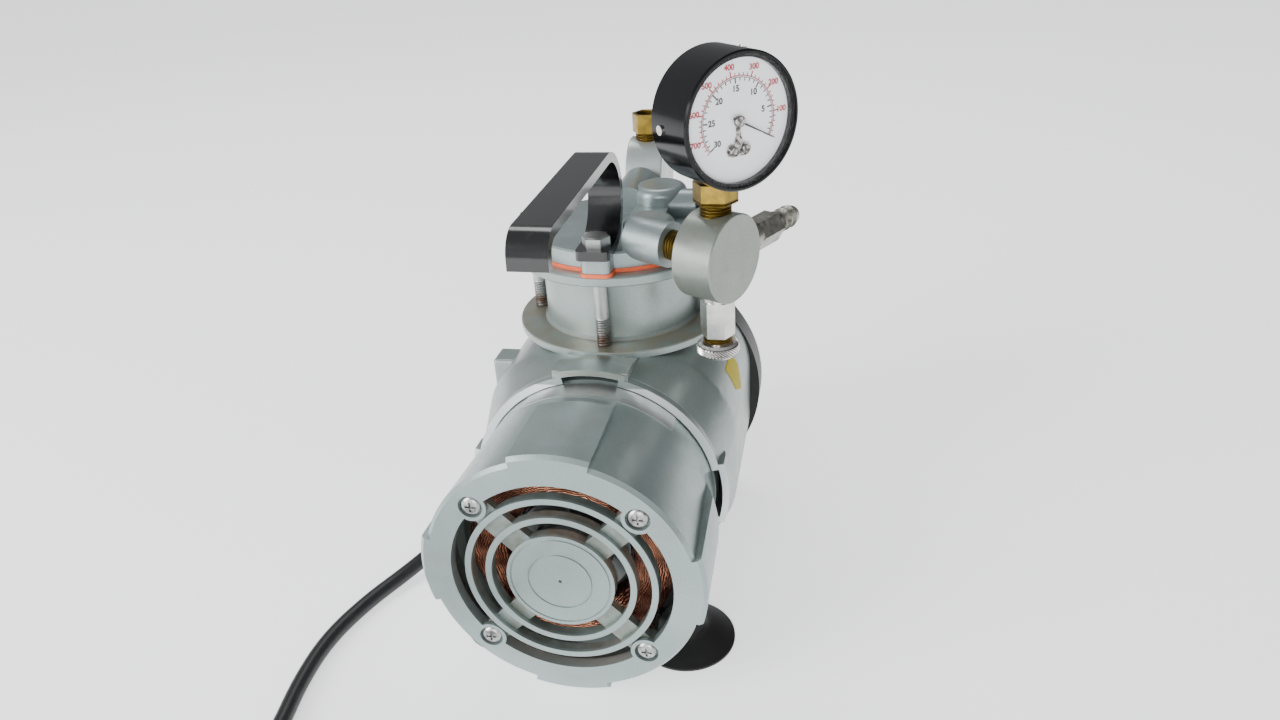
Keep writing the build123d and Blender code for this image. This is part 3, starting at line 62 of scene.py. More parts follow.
class Finish:
    """A node material read in object coordinates; lengths are in millimetres."""

    def __init__(self, name, roughness=0.5, metallic=0.0, **sockets):
        self.material = bpy.data.materials.new(name)
        self.material.use_nodes = True
        self.tree = self.material.node_tree
        self.shader = self.tree.nodes["Principled BSDF"]
        self.shader.inputs["Roughness"].default_value = roughness
        self.shader.inputs["Metallic"].default_value = metallic
        for socket, value in sockets.items():
            self.shader.inputs[socket.replace("_", " ")].default_value = value
        self.coordinates = self.tree.nodes.new("ShaderNodeTexCoord").outputs["Object"]

    def add(self, kind, inputs=None, **settings):
        made = self.tree.nodes.new("ShaderNode" + kind)
        for key, value in settings.items():
            setattr(made, key, value)
        for key, value in (inputs or {}).items():
            if isinstance(value, bpy.types.NodeSocket):
                self.tree.links.new(value, made.inputs[key])
            else:
                made.inputs[key].default_value = value
        return made

    def math(self, operation, *values):
        made = self.add("Math", operation=operation)
        for i, value in enumerate(values):
            if isinstance(value, bpy.types.NodeSocket):
                self.tree.links.new(value, made.inputs[i])
            else:
                made.inputs[i].default_value = value
        return made.outputs[0]

    def noise(self, size, detail=3.0, vector=None):
        inputs = {"Scale": 1000.0 / size, "Detail": detail, "Vector": vector or self.coordinates}
        return self.add("TexNoise", inputs).outputs["Fac"]

    def ramp(self, value, low, high):
        inputs = {"Value": value, "From Min": low, "From Max": high}
        return self.add("MapRange", inputs).outputs["Result"]

    def mix(self, share, first, second):
        made = self.add("Mix", data_type="RGBA")
        for socket, value in ((made.inputs[0], share), (made.inputs[6], first), (made.inputs[7], second)):
            if isinstance(value, bpy.types.NodeSocket):
                self.tree.links.new(value, socket)
            else:
                socket.default_value = linear(value) if isinstance(value, str) else value
        return made.outputs[2]

    def along(self, axis, origin=(0, 0, 0)):
        """Distance in millimetres along an axis from an origin."""
        moved = self.add("VectorMath", {0: self.coordinates, 1: origin}, operation="SUBTRACT").outputs[0]
        reach = self.add("VectorMath", {0: moved, 1: axis}, operation="DOT_PRODUCT").outputs["Value"]
        return self.math("MULTIPLY", reach, 1000.0)

    def radius(self, first, second, origin=(0, 0, 0)):
        """Distance in millimetres from a line through the origin, across two axes."""
        a = self.along(first, origin)
        b = self.along(second, origin)
        return self.math("SQRT", self.math("ADD", self.math("MULTIPLY", a, a), self.math("MULTIPLY", b, b)))

    def within(self, value, low, high, soft=0.2):
        """1 between low and high, 0 outside, with a soft edge."""
        rise = self.ramp(value, low - soft, low + soft)
        fall = self.ramp(value, high + soft, high - soft)
        return self.math("MULTIPLY", rise, fall)

    def colour(self, value):
        if isinstance(value, bpy.types.NodeSocket):
            self.tree.links.new(value, self.shader.inputs["Base Color"])
        else:
            self.shader.inputs["Base Color"].default_value = linear(value)
        return self

    def rough(self, value):
        self.tree.links.new(value, self.shader.inputs["Roughness"])
        return self

    def metal(self, value):
        self.tree.links.new(value, self.shader.inputs["Metallic"])
        return self

    def bump(self, *layers):
        """Each layer is (height value, depth in millimetres)."""
        normal = None
        for value, depth in layers:
            inputs = {"Height": value, "Distance": depth * MM, "Strength": 1.0}
            if normal:
                inputs["Normal"] = normal
            normal = self.add("Bump", inputs).outputs["Normal"]
        self.tree.links.new(normal, self.shader.inputs["Normal"])
        return self

    def put_on(self, *objects):
        for item in objects:
            item = node[item] if isinstance(item, str) else item
            item.data.materials.clear()
            item.data.materials.append(self.material)
        return self


bench_finish = Finish("bench_laminate", roughness=0.7, Emission_Color=linear("#FFFFFF"),
                      Emission_Strength=1.1)
bench_finish.colour(bench_finish.mix(bench_finish.noise(300.0), "#F4F4F5", "#EEEFF0"))
bench_finish.bump((bench_finish.noise(3.0), 0.02))
bpy.ops.mesh.primitive_plane_add(size=8.0, location=(0, 0, 0))
bench = bpy.context.object
bench.name = "bench"
bench_finish.put_on(bench)

camera_data = bpy.data.cameras.new("camera")
camera_data.sensor_width = 36.0
camera_data.lens = 26.45
camera = bpy.data.objects.new("camera", camera_data)
bpy.context.scene.collection.objects.link(camera)
aim = Matrix.Rotation(radians(12.77), 4, "Z") @ Matrix.Rotation(radians(90 - 27.33), 4, "X")
stand = Matrix.Translation((0.09804, -0.39218, 0.31540))
camera.matrix_world = stand @ aim @ Matrix.Rotation(radians(-3.51), 4, "Z")
bpy.context.scene.camera = camera


def soft_panel(name, place, target, size, power):
    data = bpy.data.lights.new(name, "AREA")
    data.shape = "RECTANGLE"
    data.size, data.size_y = size
    data.energy = power
    lamp = bpy.data.objects.new(name, data)
    bpy.context.scene.collection.objects.link(lamp)
    lamp.location = place
    lamp.rotation_euler = (Vector(target) - Vector(place)).to_track_quat("-Z", "Y").to_euler()


soft_panel("window_panel", (-1.3, -1.2, 0.75), (0, 0, 0.1), (0.9, 1.3), 42.0)
soft_panel("front_panel", (0.25, -1.9, 0.55), (0, 0, 0.1), (1.3, 0.8), 20.0)
soft_panel("ceiling_panel", (-0.3, 0.9, 1.7), (0, 0, 0.1), (0.9, 0.6), 9.0)
world = bpy.data.worlds.new("studio")
world.use_nodes = True
studio = world.node_tree
studio.nodes["Background"].inputs["Color"].default_value = linear("#F2F4F6")
towards = studio.nodes.new("ShaderNodeVectorMath")
towards.operation = "DOT_PRODUCT"
towards.inputs[1].default_value = (-0.72, -0.62, 0.15)
studio.links.new(studio.nodes.new("ShaderNodeTexCoord").outputs["Generated"], towards.inputs[0])
falloff = studio.nodes.new("ShaderNodeMapRange")
falloff.inputs["From Min"].default_value = -0.9
falloff.inputs["To Min"].default_value = 0.16
falloff.inputs["To Max"].default_value = 0.85
studio.links.new(towards.outputs["Value"], falloff.inputs["Value"])
studio.links.new(falloff.outputs["Result"], studio.nodes["Background"].inputs["Strength"])
bpy.context.scene.world = world

X = (1.0, 0.0, 0.0)
Y = (0.0, 1.0, 0.0)
Z = (0.0, 0.0, 1.0)
shaft_line = Vector(joint["shaft_spin"]["pos_m"])
front_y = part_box("motor_shell")[0][1]
motor_axis = Vector((shaft_line.x, front_y, shaft_line.z))


# ---- Edges ----------------------------------------------------------------------------
# Castings and turned parts have broken edges, never knife edges.  Each part's faces
# are joined and its sharp edges rounded by a small radius that suits how it was made.
def break_edges(name, radius, segments=2, angle=32):
    part = node[name]
    weld = part.modifiers.new("join_faces", "WELD")
    weld.merge_threshold = 0.00001
    bevel = part.modifiers.new("broken_edges", "BEVEL")
    bevel.width = radius * MM
    bevel.segments = segments
    bevel.limit_method = "ANGLE"
    bevel.angle_limit = radians(angle)
    bevel.use_clamp_overlap = True
    bevel.harden_normals = False
    part.modifiers.new("even_shading", "WEIGHTED_NORMAL")
    for face in part.data.polygons:
        face.use_smooth = True


# ---- Stator and windings ----------------------------------------------------------------
# Stacked steel laminations with coils of varnished copper wire; the coil ends
# stand proud of the core and show through the grille.
laminations = Finish("core_laminations", roughness=0.5, metallic=0.8)
sheet_edge = laminations.math("SINE", laminations.math("MULTIPLY", laminations.along(Y), tau / 0.6))
laminations.colour(laminations.mix(laminations.noise(6.0), "#6E6D6A", "#4B4845"))
laminations.bump((sheet_edge, 0.05))
laminations.put_on("stator_core")

copper = Finish("varnished_copper_wire", roughness=0.24, metallic=0.75)
reach = copper.radius(X, Z, motor_axis)
lay = copper.math("ADD", reach, copper.math("MULTIPLY", copper.noise(9.0), 5.0))
wire_ridges_and_groove_shade = copper.math("ABSOLUTE", copper.math("SINE", copper.math("MULTIPLY", lay, pi / 0.9)))
patches = copper.ramp(copper.noise(16.0), 0.4, 0.62)
bright_wire = copper.mix(patches, "#6A3024", "#F2A684")
# The grooves between the turns of wire are painted near-black: painted shade between the wires. The same ridges drive
# the bump.
copper.colour(copper.mix(wire_ridges_and_groove_shade, "#2A1512", bright_wire))
copper.bump((wire_ridges_and_groove_shade, 0.35))
copper.put_on("windings")

# ---- Rotor, shaft and ball bearings ------------------------------------------------------
# A turned squirrel-cage rotor pressed on a ground shaft that runs in two ball
# bearings; the eccentric and its counterweight are keyed to the same shaft.
turned_iron = Finish("turned_rotor", roughness=0.35, metallic=1.0)
turned_iron.colour(turned_iron.mix(turned_iron.noise(4.0), "#8D8E8F", "#6F7072"))
turning = turned_iron.math("SINE", turned_iron.math("MULTIPLY", turned_iron.along(Y), tau / 0.5))
turned_iron.bump((turning, 0.01))
turned_iron.put_on("rotor", "counterweight", "eccentric")

ground_steel = Finish("ground_bearing_steel", roughness=0.18, metallic=1.0)
ground_steel.colour(ground_steel.mix(ground_steel.noise(2.0), "#C4C6C8", "#AEB0B3"))
ground_steel.bump((ground_steel.noise(0.3), 0.003))
ground_steel.put_on("shaft", "bearing_outer_rings", "bearing_inner_rings", "bearing_balls", "rod_bearing")
for name in ("shaft", "eccentric", "counterweight"):
    break_edges(name, 0.4)


# ---- Motor shell and frame ----------------------------------------------------------------
# Two die castings painted in a satin grey-green with a fine grain.  The front face of the lip where they
# meet is painted near-white as a highlight, and dust lies on the flange under the head.
def cast_paint(name, light, dark, stain="#8E8B7E", stain_share=0.25):
    finish = Finish(name, metallic=0.6, Coat_Weight=0.25, Coat_Roughness=0.22)
    broad = finish.math("MULTIPLY", finish.ramp(finish.noise(45.0, 2.0), 0.35, 0.65), 0.6)
    grain = finish.math("MULTIPLY", finish.ramp(finish.noise(0.9, 2.0), 0.3, 0.7), 0.4)
    shade = finish.mix(finish.math("ADD", broad, grain), light, dark)
    grime = finish.math("MULTIPLY", finish.ramp(finish.noise(11.0, 6.0), 0.58, 0.74), stain_share)
    finish.tinted = finish.mix(grime, shade, stain)
    finish.colour(finish.tinted)
    finish.rough(finish.math("ADD", finish.math("MULTIPLY", finish.noise(5.0), 0.22), 0.26))
    finish.bump((finish.noise(0.7, 2.0), 0.03), (finish.noise(14.0, 2.0), 0.25))
    return finish


shell_paint = cast_paint("shell_paint", "#9CA9A9", "#899795")
depth = shell_paint.along(Y, motor_axis)
spoke_face = shell_paint.within(depth, 1.2, 9.0, 0.6)
under_ring = shell_paint.within(shell_paint.radius(X, Z, motor_axis), -1.0, 45.5, 0.6)
# The recessed spoke faces behind the front ring are darkened in patches to a dull olive grey: painted shade.
recess_shade = shell_paint.math("MULTIPLY", shell_paint.math("MULTIPLY", spoke_face, under_ring),
                          shell_paint.ramp(shell_paint.noise(7.0, 5.0), 0.15, 0.75))
shell_paint.colour(shell_paint.mix(recess_shade, shell_paint.tinted, "#6C6E63"))
shell_paint.put_on("motor_shell")
break_edges("motor_shell", 0.7)

LIP_START = (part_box("rating_plate")[1][1] - front_y) * 1000 + 0.4
LOWER_FLANGE_TOP = 58.0
frame_paint = cast_paint("frame_paint", "#98A3A1", "#838F8B", stain_share=0.35)
length = frame_paint.along(Y, motor_axis)
height = frame_paint.along(Z, motor_axis)
lip_face = frame_paint.within(length, LIP_START - 0.5, LIP_START + 0.35, 0.1)
# A thin band on the lip's front face is painted near-white: a painted highlight.
lip_highlight = frame_paint.math("MULTIPLY", lip_face, frame_paint.within(height, -45.0, 52.0, 0.2))
flange_top = frame_paint.within(height, LOWER_FLANGE_TOP - 0.4, LOWER_FLANGE_TOP + 0.4, 0.25)
dust = frame_paint.math("MULTIPLY", flange_top, frame_paint.ramp(frame_paint.noise(8.0, 5.0), 0.25, 0.6))
dusty = frame_paint.mix(frame_paint.math("MULTIPLY", dust, 0.85), frame_paint.tinted, "#948D7C")
frame_paint.colour(frame_paint.mix(lip_highlight, dusty, "#DDE2E3"))
frame_paint.put_on("frame")
break_edges("frame", 0.8)

silver_foil = Finish("blank_silver_foil", roughness=0.32, metallic=0.75)
silver_foil.colour(silver_foil.mix(silver_foil.noise(5.0), "#B9BBBA", "#9EA2A1"))
silver_foil.bump((silver_foil.noise(0.5), 0.01))
silver_foil.put_on("rating_plate")

vinyl = Finish("blank_yellow_vinyl", roughness=0.6)
vinyl.colour(vinyl.mix(vinyl.noise(7.0), "#CDBA00", "#B5A200"))
vinyl.bump((vinyl.noise(4.0), 0.03))
vinyl.put_on("caution_sticker")

# ---- Screws, bolts, studs and other plated steel -------------------------------------------
# Zinc-plated fasteners; the long head bolts end in a cut thread whose tips have rusted.
zinc = Finish("zinc_plate", roughness=0.3, metallic=1.0)
zinc.colour(zinc.mix(zinc.ramp(zinc.noise(1.6, 4.0), 0.35, 0.7), "#B9BABA", "#7E7D7A"))
zinc.bump((zinc.noise(0.5), 0.02))
zinc.put_on("shell_screws", "guard_screws", "diaphragm_retainer", "retainer_screw", "flap_clamps")

bolt_steel = Finish("plated_bolts_with_thread", roughness=0.38, metallic=0.9)
rise = bolt_steel.along(Z)
low_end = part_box("head_bolts")[0][2] * 1000
tip = bolt_steel.within(rise, low_end - 1, low_end + 13.0, 0.6)
helix = bolt_steel.math("SINE", bolt_steel.math("MULTIPLY", rise, tau / 1.27))
thread = bolt_steel.math("MULTIPLY", helix, tip)
rusty_end = bolt_steel.within(rise, low_end - 1, low_end + 6.0, 2.5)
rust = bolt_steel.math("MULTIPLY", rusty_end, bolt_steel.ramp(bolt_steel.noise(3.0, 4.0), 0.2, 0.6))
clean = bolt_steel.mix(bolt_steel.noise(4.0), "#B4B6B5", "#8F918F")
bolt_steel.colour(bolt_steel.mix(rust, clean, "#6A5244"))
bolt_steel.bump((thread, 0.35), (bolt_steel.noise(0.8), 0.03))
bolt_steel.put_on("head_bolts", "foot_studs_and_nuts")
for name in ("head_bolts", "shell_screws", "guard_screws", "foot_studs_and_nuts"):
    break_edges(name, 0.3)

# ---- Crank and pump chamber -------------------------------------------------------------------
# An aluminium connecting rod pushes a bright orange rubber diaphragm whose rim is
# clamped under the head; spring-steel reeds on an aluminium plate are the valves.
as_cast = Finish("cast_aluminium", roughness=0.48, metallic=0.95)
as_cast.colour(as_cast.mix(as_cast.noise(6.0), "#B2B4B5", "#969899"))
as_cast.bump((as_cast.noise(1.2), 0.06))
as_cast.put_on("connecting_rod", "valve_plate")
orange = Finish("orange_diaphragm_rubber", roughness=0.55)
orange.colour(orange.mix(orange.noise(3.0), "#E8683A", "#C9502A"))
orange.bump((orange.noise(1.0), 0.05))
orange.put_on("diaphragm")
spring_steel = Finish("spring_steel", roughness=0.25, metallic=1.0)
spring_steel.colour(spring_steel.mix(spring_steel.noise(2.0), "#8C8E92", "#74767A"))
spring_steel.bump((spring_steel.noise(0.6), 0.01))
spring_steel.put_on("inlet_flap", "outlet_flap", "bleed_spring")

# ---- Head and handle ------------------------------------------------------------------------------
# The head is a painted casting.  The handle is a flat steel
# bar bent into a hook and enamelled black, held by the front head bolt.
head_paint = cast_paint("head_paint", "#9BA6A7", "#849091", stain_share=0.35)
head_paint.put_on("head")
break_edges("head", 0.9, segments=3)
enamel = Finish("black_enamel", roughness=0.2, Coat_Weight=0.5, Coat_Roughness=0.12)
enamel.colour(enamel.mix(enamel.ramp(enamel.noise(2.5, 6.0), 0.62, 0.75), "#060608", "#1A1A1E"))
enamel.bump((enamel.noise(1.5), 0.012), (enamel.noise(25.0), 0.12))
enamel.put_on("handle")
break_edges("handle", 1.0, segments=3)
black_oxide = Finish("black_oxide_steel", roughness=0.4, metallic=0.6)
black_oxide.colour(black_oxide.mix(black_oxide.noise(2.0), "#1C1C1D", "#2C2B2A"))
black_oxide.bump((black_oxide.noise(0.7), 0.02))
black_oxide.put_on("side_port_plug")


# ---- Brass pipework -------------------------------------------------------------------------------
# Pipe nipples and fittings turned from brass bar, with cut pipe threads at their ends.
def brass(name, axis=None, origin=None, low=0.0, high=0.0, pitch=1.41):
    finish = Finish(name, roughness=0.3, metallic=1.0)
    tone = finish.mix(finish.ramp(finish.noise(4.0, 4.0), 0.3, 0.7), "#A08639", "#75622F")
    if axis is None:
        finish.colour(tone)
        finish.bump((finish.noise(0.8), 0.02))
        return finish
    reach = finish.along(axis, origin)
    ridge = finish.math("SINE", finish.math("MULTIPLY", reach, tau / pitch))
    cut = finish.math("MULTIPLY", ridge, finish.within(reach, low, high, 0.1))
    # The thread grooves are darkened to a deep brown: painted shade in the grooves. The same ridges drive the bump.
    finish.colour(finish.mix(finish.ramp(cut, 0.0, -1.0), tone, "#5E4519"))
    finish.bump((cut, 0.5), (finish.noise(0.8), 0.02))
    return finish


gauge_joint = joint["pointer_turn"]
dial_way = Vector(gauge_joint["axis"])
dial_centre = Vector(gauge_joint["pos_m"])
stem_axis = Vector(joint["knob_turn"]["pos_m"])
port_height = sum(corner[2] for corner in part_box("inlet_manifold")) / 2
inlet_centre = Vector((stem_axis.x, stem_axis.y, port_height))
barb_way = Vector(next(m for m in frame["record"]["mounts"] if m["name"] == "hose_barb")["axis"])
inlet_way = Vector((barb_way.y, -barb_way.x, 0.0))
brass("brass_nipples", inlet_way, inlet_centre, -60.0, 0.0).put_on("pipe_nipples")
stem_low, stem_high = (corner[2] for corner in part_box("gauge_stem"))
brass("brass_gauge_stem", Z, (0, 0, stem_low), 0.0, 14.2).put_on("gauge_stem")
fitting_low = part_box("outlet_fitting")[0][2]
brass("brass_outlet_fitting", Z, (0, 0, fitting_low), 0.0, 11.3).put_on("outlet_fitting")
brass("brass_bleed_bush", Z, (0, 0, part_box("bleed_bush")[0][2]), 0.0, 2.6, 0.9).put_on("bleed_bush")
brass("brass_movement").put_on("gauge_pinion", "gauge_sector", "movement_plate", "bourdon_tube")
for name in ("gauge_stem", "outlet_fitting", "pipe_nipples"):
    break_edges(name, 0.35)

# ---- Inlet and outlet blocks ----------------------------------------------------------------------
# Short round blocks cut from bar and painted a warmer grey-green, each tapped for pipes.  The outlet block gets a
# lighter copy of that paint: painted light.
block_paint = cast_paint("inlet_block_paint", "#8B918A", "#787F78", stain="#7C7A6B", stain_share=0.4)
block_paint.put_on("inlet_manifold")
# A lighter copy of the block paint for the outlet block, standing for the light falling on it: painted light.
outlet_block_lit_copy = cast_paint("outlet_block_paint", "#B9C0BF", "#A4ACAB")
outlet_block_lit_copy.put_on("outlet_manifold")
for name in ("inlet_manifold", "outlet_manifold"):
    break_edges(name, 0.6, segments=3)

# ---- Nickel-plated barb and bleed valve -------------------------------------------------------------
# The hose barb and the valve body are nickel-plated hexagons; the knob below has a
# diamond knurl pressed round its rim.
nickel = Finish("nickel_plate", roughness=0.22, metallic=1.0)
nickel.colour(nickel.mix(nickel.ramp(nickel.noise(5.0, 2.0), 0.3, 0.8), "#DAD8D6", "#C2C0BE"))
nickel.bump((nickel.noise(0.9), 0.015))
nickel.put_on("bleed_valve_body", "bleed_stem", "case_rivets")
tarnished = Finish("tarnished_nickel", roughness=0.36, metallic=0.9)
tarnished.colour(tarnished.mix(tarnished.ramp(tarnished.noise(3.0, 4.0), 0.35, 0.7), "#A8A7A0", "#77756C"))
tarnished.bump((tarnished.noise(0.9), 0.03))
tarnished.put_on("hose_barb")
for name in ("bleed_valve_body", "hose_barb"):
    break_edges(name, 0.35)

knob_low, knob_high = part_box("bleed_knob")
KNURLS = 40
KNURL_PEAK = 0.00042
RIM_CHAMFER = 0.0012
knob_radius = (knob_high[0] - knob_low[0]) / 2
knob_height = knob_high[2] - knob_low[2]
knurl_rows = 6
row_climb = (knob_height - 2 * RIM_CHAMFER) / knurl_rows
knurl = bmesh.new()
bmesh.ops.create_circle(knurl, segments=KNURLS * 2, cap_ends=True,
                        radius=knob_radius - KNURL_PEAK - RIM_CHAMFER)
rim = knurl.edges[:]
knob_steps = [(RIM_CHAMFER, RIM_CHAMFER)] + [(0.0, row_climb)] * knurl_rows + [(-RIM_CHAMFER, RIM_CHAMFER)]
knob_steps.append((-0.0032, -0.0004))
level = 0.0
ring_radius = knob_radius - KNURL_PEAK - RIM_CHAMFER
for row, (grow, climb) in enumerate(knob_steps):
    raised = bmesh.ops.extrude_edge_only(knurl, edges=rim)["geom"]
    points = [v for v in raised if isinstance(v, bmesh.types.BMVert)]
    rim = [e for e in raised if isinstance(e, bmesh.types.BMEdge)]
    level += climb
    ring_radius += grow
    for point in points:
        way = Vector((point.co.x, point.co.y)).normalized()
        turn = round(Vector((1, 0)).angle_signed(way) / tau * KNURLS * 2)
        reach = ring_radius + (KNURL_PEAK if (turn + row) % 2 and 0 < row < knurl_rows else 0.0)
        point.co = Vector((way.x * reach, way.y * reach, level))
bmesh.ops.contextual_create(knurl, geom=rim)
bmesh.ops.recalc_face_normals(knurl, faces=knurl.faces)
bmesh.ops.translate(knurl, verts=knurl.verts, vec=(stem_axis.x, stem_axis.y, knob_low[2]))
knurled = Finish("knurled_nickel", roughness=0.25, metallic=1.0)
out = knurled.radius(X, Y, stem_axis)
# The valleys of the knurl are painted dark grey: painted shade between the ridges.
knurl_valley_shade = knurled.within(out, (knob_radius - KNURL_PEAK) * 1000 - 0.3,
                        (knob_radius - KNURL_PEAK * 0.75) * 1000, 0.12)
knurled.colour(knurled.mix(knurl_valley_shade, "#DEDCDA", "#77736F"))
knurled.bump((knurled.noise(0.8), 0.02))


def piece_from(made, name, body, finish):
    """Turns a bmesh into a finished piece that rides on a body."""
    mesh = bpy.data.meshes.new(name)
    made.to_mesh(mesh)
    made.free()
    piece = bpy.data.objects.new(name, mesh)
    bpy.context.scene.collection.objects.link(piece)
    finish.put_on(piece)
    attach(piece, body)
    return piece


knob = piece_from(knurl, "knurled_knob", "valve_knob", knurled)
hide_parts("bleed_knob")

# ---- Gauge -----------------------------------------------------------------------------------------
# A pressed steel case enamelled black with a white dial.  The outer red scale and the
# inner black one are printed; a steel pointer turns above a small bracket.
dial_right = Vector(Z).cross(dial_way)
dial_place = Matrix((dial_right, Vector(Z), dial_way)).transposed().to_4x4()
dial_place.translation = dial_centre
DIAL_FACE = 0.0079
ZERO_ANGLE = -28.0
SWEEP = 245.0
dial_white = Finish("white_dial_enamel", roughness=0.45)
dial_white.colour(dial_white.mix(dial_white.noise(12.0), "#FBFCFE", "#F2F4F8"))
dial_white.bump((dial_white.noise(0.6), 0.004))
dial_white.put_on("gauge_dial")
red_ink = Finish("red_dial_ink", roughness=0.5)
red_ink.colour(red_ink.mix(red_ink.noise(0.8), "#A50E22", "#B51C2C"))
black_ink = Finish("black_dial_ink", roughness=0.5)
black_ink.colour(black_ink.mix(black_ink.noise(0.8), "#101014", "#24242A"))


def scale_marks(made, count, major, radius, short, tall, width, outward):
    """Thin printed bars round part of a circle, every major-th one longer."""
    for i in range(count + 1):
        size = tall if i % major == 0 else short
        angle = radians(ZERO_ANGLE + SWEEP * i / count)
        middle = radius + outward * size / 2
        stretch = Matrix.Diagonal((size, width * (1.4 if i % major == 0 else 1.0), 0.00006, 1.0))
        place = Matrix.Rotation(angle, 4, "Z") @ Matrix.Translation((middle, 0, DIAL_FACE + 0.00008))
        bmesh.ops.create_cube(made, size=1.0, matrix=place @ stretch)


def scale_arc(made, radius, width):
    start = Matrix.Rotation(radians(ZERO_ANGLE), 4, "Z")
    grid = bmesh.ops.create_grid(made, x_segments=0, y_segments=0, size=0.5, matrix=start @ Matrix.Translation(
        (radius, 0, DIAL_FACE + 0.00012)) @ Matrix.Rotation(pi / 2, 4, "X") @ Matrix.Diagonal((width, 0.00006, 1, 1)))
    bmesh.ops.spin(made, geom=grid["verts"] + list({e for v in grid["verts"] for e in v.link_edges})
                   + list({f for v in grid["verts"] for f in v.link_faces}),
                   cent=(0, 0, 0), axis=(0, 0, 1), angle=radians(SWEEP), steps=72, use_duplicate=False)


def numeral(made, text, height, radius, angle):
    curve = bpy.data.curves.new("numeral", "FONT")
    curve.body = text
    curve.size = height
    curve.align_x = "CENTER"
    curve.align_y = "CENTER"
    curve.extrude = 0.00003
    curve.offset = height * 0.03
    holder = bpy.data.objects.new("numeral", curve)
    bpy.context.scene.collection.objects.link(holder)
    flat = bpy.data.meshes.new_from_object(holder)
    place = Matrix.Translation((radius * cos(radians(angle)), radius * sin(radians(angle)), DIAL_FACE + 0.00009))
    flat.transform(place)
    made.from_mesh(flat)
    bpy.data.objects.remove(holder)
    bpy.data.meshes.remove(flat)


red_print = bmesh.new()
scale_marks(red_print, 38, 5, 0.0166, 0.0011, 0.0021, 0.00036, 1)
scale_arc(red_print, 0.0166, 0.00032)
for value in range(100, 800, 100):
    numeral(red_print, str(value), 0.0030, 0.0203, ZERO_ANGLE + SWEEP * value / 760)
black_print = bmesh.new()
scale_marks(black_print, 30, 5, 0.0160, 0.0013, 0.0021, 0.00038, -1)
scale_arc(black_print, 0.0160, 0.00022)
for value in range(5, 35, 5):
    numeral(black_print, str(value), 0.0032, 0.0120, ZERO_ANGLE + SWEEP * value / 30)
for made, name, finish in ((red_print, "red_scale", red_ink), (black_print, "black_scale", black_ink)):
    bmesh.ops.recalc_face_normals(made, faces=made.faces)
    bmesh.ops.transform(made, matrix=dial_place, verts=made.verts)
    piece_from(made, name, "pump_base", finish)

needle_steel = Finish("blued_needle_steel", roughness=0.35, metallic=0.7)
needle_steel.colour(needle_steel.mix(needle_steel.noise(1.0), "#26262A", "#3C3C42"))
needle_steel.put_on("gauge_pointer")


def turned_button(made, radius, height, place, segments=40):
    """A low domed button, such as a screw head or hub."""
    part = bmesh.new()
    bmesh.ops.create_cone(part, cap_ends=True, segments=segments, radius1=radius, radius2=radius, depth=height,
                          matrix=Matrix.Translation((0, 0, height / 2)))
    top = [e for e in part.edges if all(v.co.z > height * 0.9 for v in e.verts)]
    bmesh.ops.bevel(part, geom=top, offset=height * 0.55, segments=4, profile=0.5, affect="EDGES", material=-1)
    bmesh.ops.transform(part, matrix=place, verts=part.verts)
    temporary = bpy.data.meshes.new("button")
    part.to_mesh(temporary)
    part.free()
    made.from_mesh(temporary)
    bpy.data.meshes.remove(temporary)


bracket_steel = Finish("polished_bracket_steel", roughness=0.16, metallic=1.0)
# Dark and bright streaks in the polished steel's colour are painted reflections.
reflection_streaks = bracket_steel.ramp(bracket_steel.noise(1.6, 3.0), 0.42, 0.6)
bracket_steel.colour(bracket_steel.mix(reflection_streaks, "#4A4442", "#B9B4B2"))
bracket_steel.bump((bracket_steel.noise(1.2), 0.08))
bracket_steel.put_on("dial_bracket")
bracket = bmesh.new()
for x in (-0.0030, 0.0030):
    turned_button(bracket, 0.0018, 0.0010, Matrix.Translation((x, -0.0108, DIAL_FACE + 0.0006)))
bmesh.ops.transform(bracket, matrix=dial_place, verts=bracket.verts)
piece_from(bracket, "bracket_screw_heads", "pump_base", bracket_steel)
hub = bmesh.new()
turned_button(hub, 0.0023, 0.0009, Matrix.Translation((0, 0, DIAL_FACE + 0.0011)))
bmesh.ops.transform(hub, matrix=dial_place, verts=hub.verts)
piece_from(hub, "pointer_hub", "pointer_assembly", bracket_steel)

lens = Finish("clear_lens", roughness=0.02, Alpha=0.02)
lens.colour(lens.mix(lens.noise(30.0), "#F4F8FA", "#FFFFFF"))
lens.put_on("gauge_lens")
moulded = Finish("black_moulded_plastic", roughness=0.42, Specular_IOR_Level=0.35)
moulded.colour(moulded.mix(moulded.noise(3.0), "#0B0B0C", "#151516"))
moulded.bump((moulded.noise(0.5), 0.02))
moulded.put_on("fan", "fan_guard")
case_enamel = Finish("gauge_case_enamel", roughness=0.16, Specular_IOR_Level=0.3)
case_enamel.colour(case_enamel.mix(case_enamel.ramp(case_enamel.noise(2.5, 6.0), 0.62, 0.75), "#050507", "#121216"))
case_enamel.bump((case_enamel.noise(20.0), 0.06))
case_enamel.put_on("gauge_case", "gauge_ring")
break_edges("gauge_case", 0.5, segments=3)

# ---- Fan and guard ---------------------------------------------------------------------------------
# A moulded fan on the shaft's end blows through the slots of a moulded black guard.
break_edges("fan_guard", 0.8)
break_edges("fan", 0.3)

# ---- Suction feet -----------------------------------------------------------------------------------
# Black rubber cups with thin rims, moulded in one piece and held by a stud each.
cup_rubber = Finish("black_cup_rubber", roughness=0.5)
cup_rubber.colour(cup_rubber.mix(cup_rubber.noise(9.0, 4.0), "#0C0A0B", "#1A1718"))
cup_rubber.bump((cup_rubber.noise(0.8), 0.03))
cup_rubber.put_on("suction_feet", "strain_relief", "plug_body")
for name in ("suction_feet", "plug_body"):
    break_edges(name, 0.4)
brass("plug_pin_brass").put_on("plug_blades")

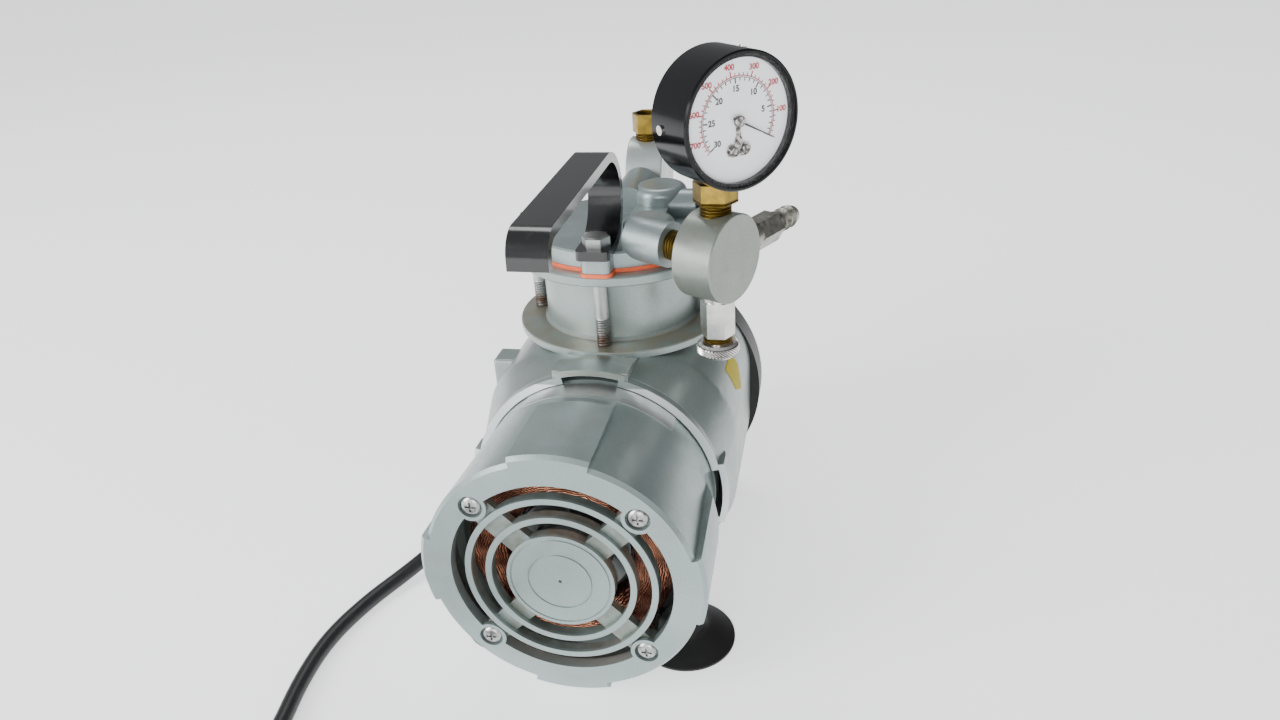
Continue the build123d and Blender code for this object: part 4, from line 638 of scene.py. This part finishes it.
# ---- Power cord ---------------------------------------------------------------------------------------
# A round rubber-jacketed cord.  It leaves the frame's lower left side, drops to the
# bench, sweeps forward and is wound into a neat coil, with its plug beside the coil.
CORD_DIAMETER = 0.0076
CORD_LEAD = [(-0.0793, -0.0193, 0.0209), (-0.0933, -0.0301, 0.0126), (-0.1073, -0.0475, 0.0054),
             (-0.1198, -0.0705, 0.0038), (-0.1273, -0.0975, 0.0038), (-0.1268, -0.1245, 0.0038),
             (-0.1223, -0.1505, 0.0038), (-0.1209, -0.1745, 0.0038)]
CORD_TAIL = [(-0.0533, -0.2673, 0.0114), (-0.0333, -0.2681, 0.0104), (-0.0133, -0.2661, 0.0101),
             (0.0067, -0.2675, 0.0110)]
COIL_CENTRE = Vector((-0.0733, -0.2175, 0.0))
TURN_RADII = [0.0496, 0.0420, 0.0344, 0.0344, 0.0420, 0.0496]
POINTS_A_TURN = 24
coil_points = []
coil_steps = int(POINTS_A_TURN * 6.25)
for step in range(1, coil_steps):
    turns = step / POINTS_A_TURN
    spot = min(turns, 5.999)
    whole = int(spot)
    share = max(0.0, (spot - whole - 0.7) / 0.3)
    following = TURN_RADII[min(whole + 1, 5)]
    turn_radius = TURN_RADII[whole] * (1 - share) + following * share
    layer_share = max(0.0, min(1.0, (turns - 2.7) / 0.3))
    z = CORD_DIAMETER / 2 + CORD_DIAMETER * layer_share
    angle = pi + tau * turns
    coil_points.append((COIL_CENTRE.x + turn_radius * cos(angle), COIL_CENTRE.y + turn_radius * sin(angle), z))
cord_points = CORD_LEAD + coil_points + CORD_TAIL
cord_curve = bpy.data.curves.new("power_cord", "CURVE")
cord_curve.dimensions = "3D"
cord_curve.bevel_depth = CORD_DIAMETER / 2
cord_curve.bevel_resolution = 5
cord_curve.resolution_u = 6
line = cord_curve.splines.new("NURBS")
line.points.add(len(cord_points) - 1)
for point, place in zip(line.points, cord_points):
    point.co = (*place, 1.0)
line.order_u = 3
line.use_endpoint_u = True
cord = bpy.data.objects.new("power_cord", cord_curve)
bpy.context.scene.collection.objects.link(cord)
jacket = Finish("cord_jacket", roughness=0.42)
jacket.colour(jacket.mix(jacket.noise(8.0, 4.0), "#0E0E10", "#1B1A1D"))
jacket.bump((jacket.noise(1.2), 0.04))
jacket.put_on(cord)
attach(cord, "pump_base")
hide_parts("cord_lead", "cord_coil", "cord_tail")
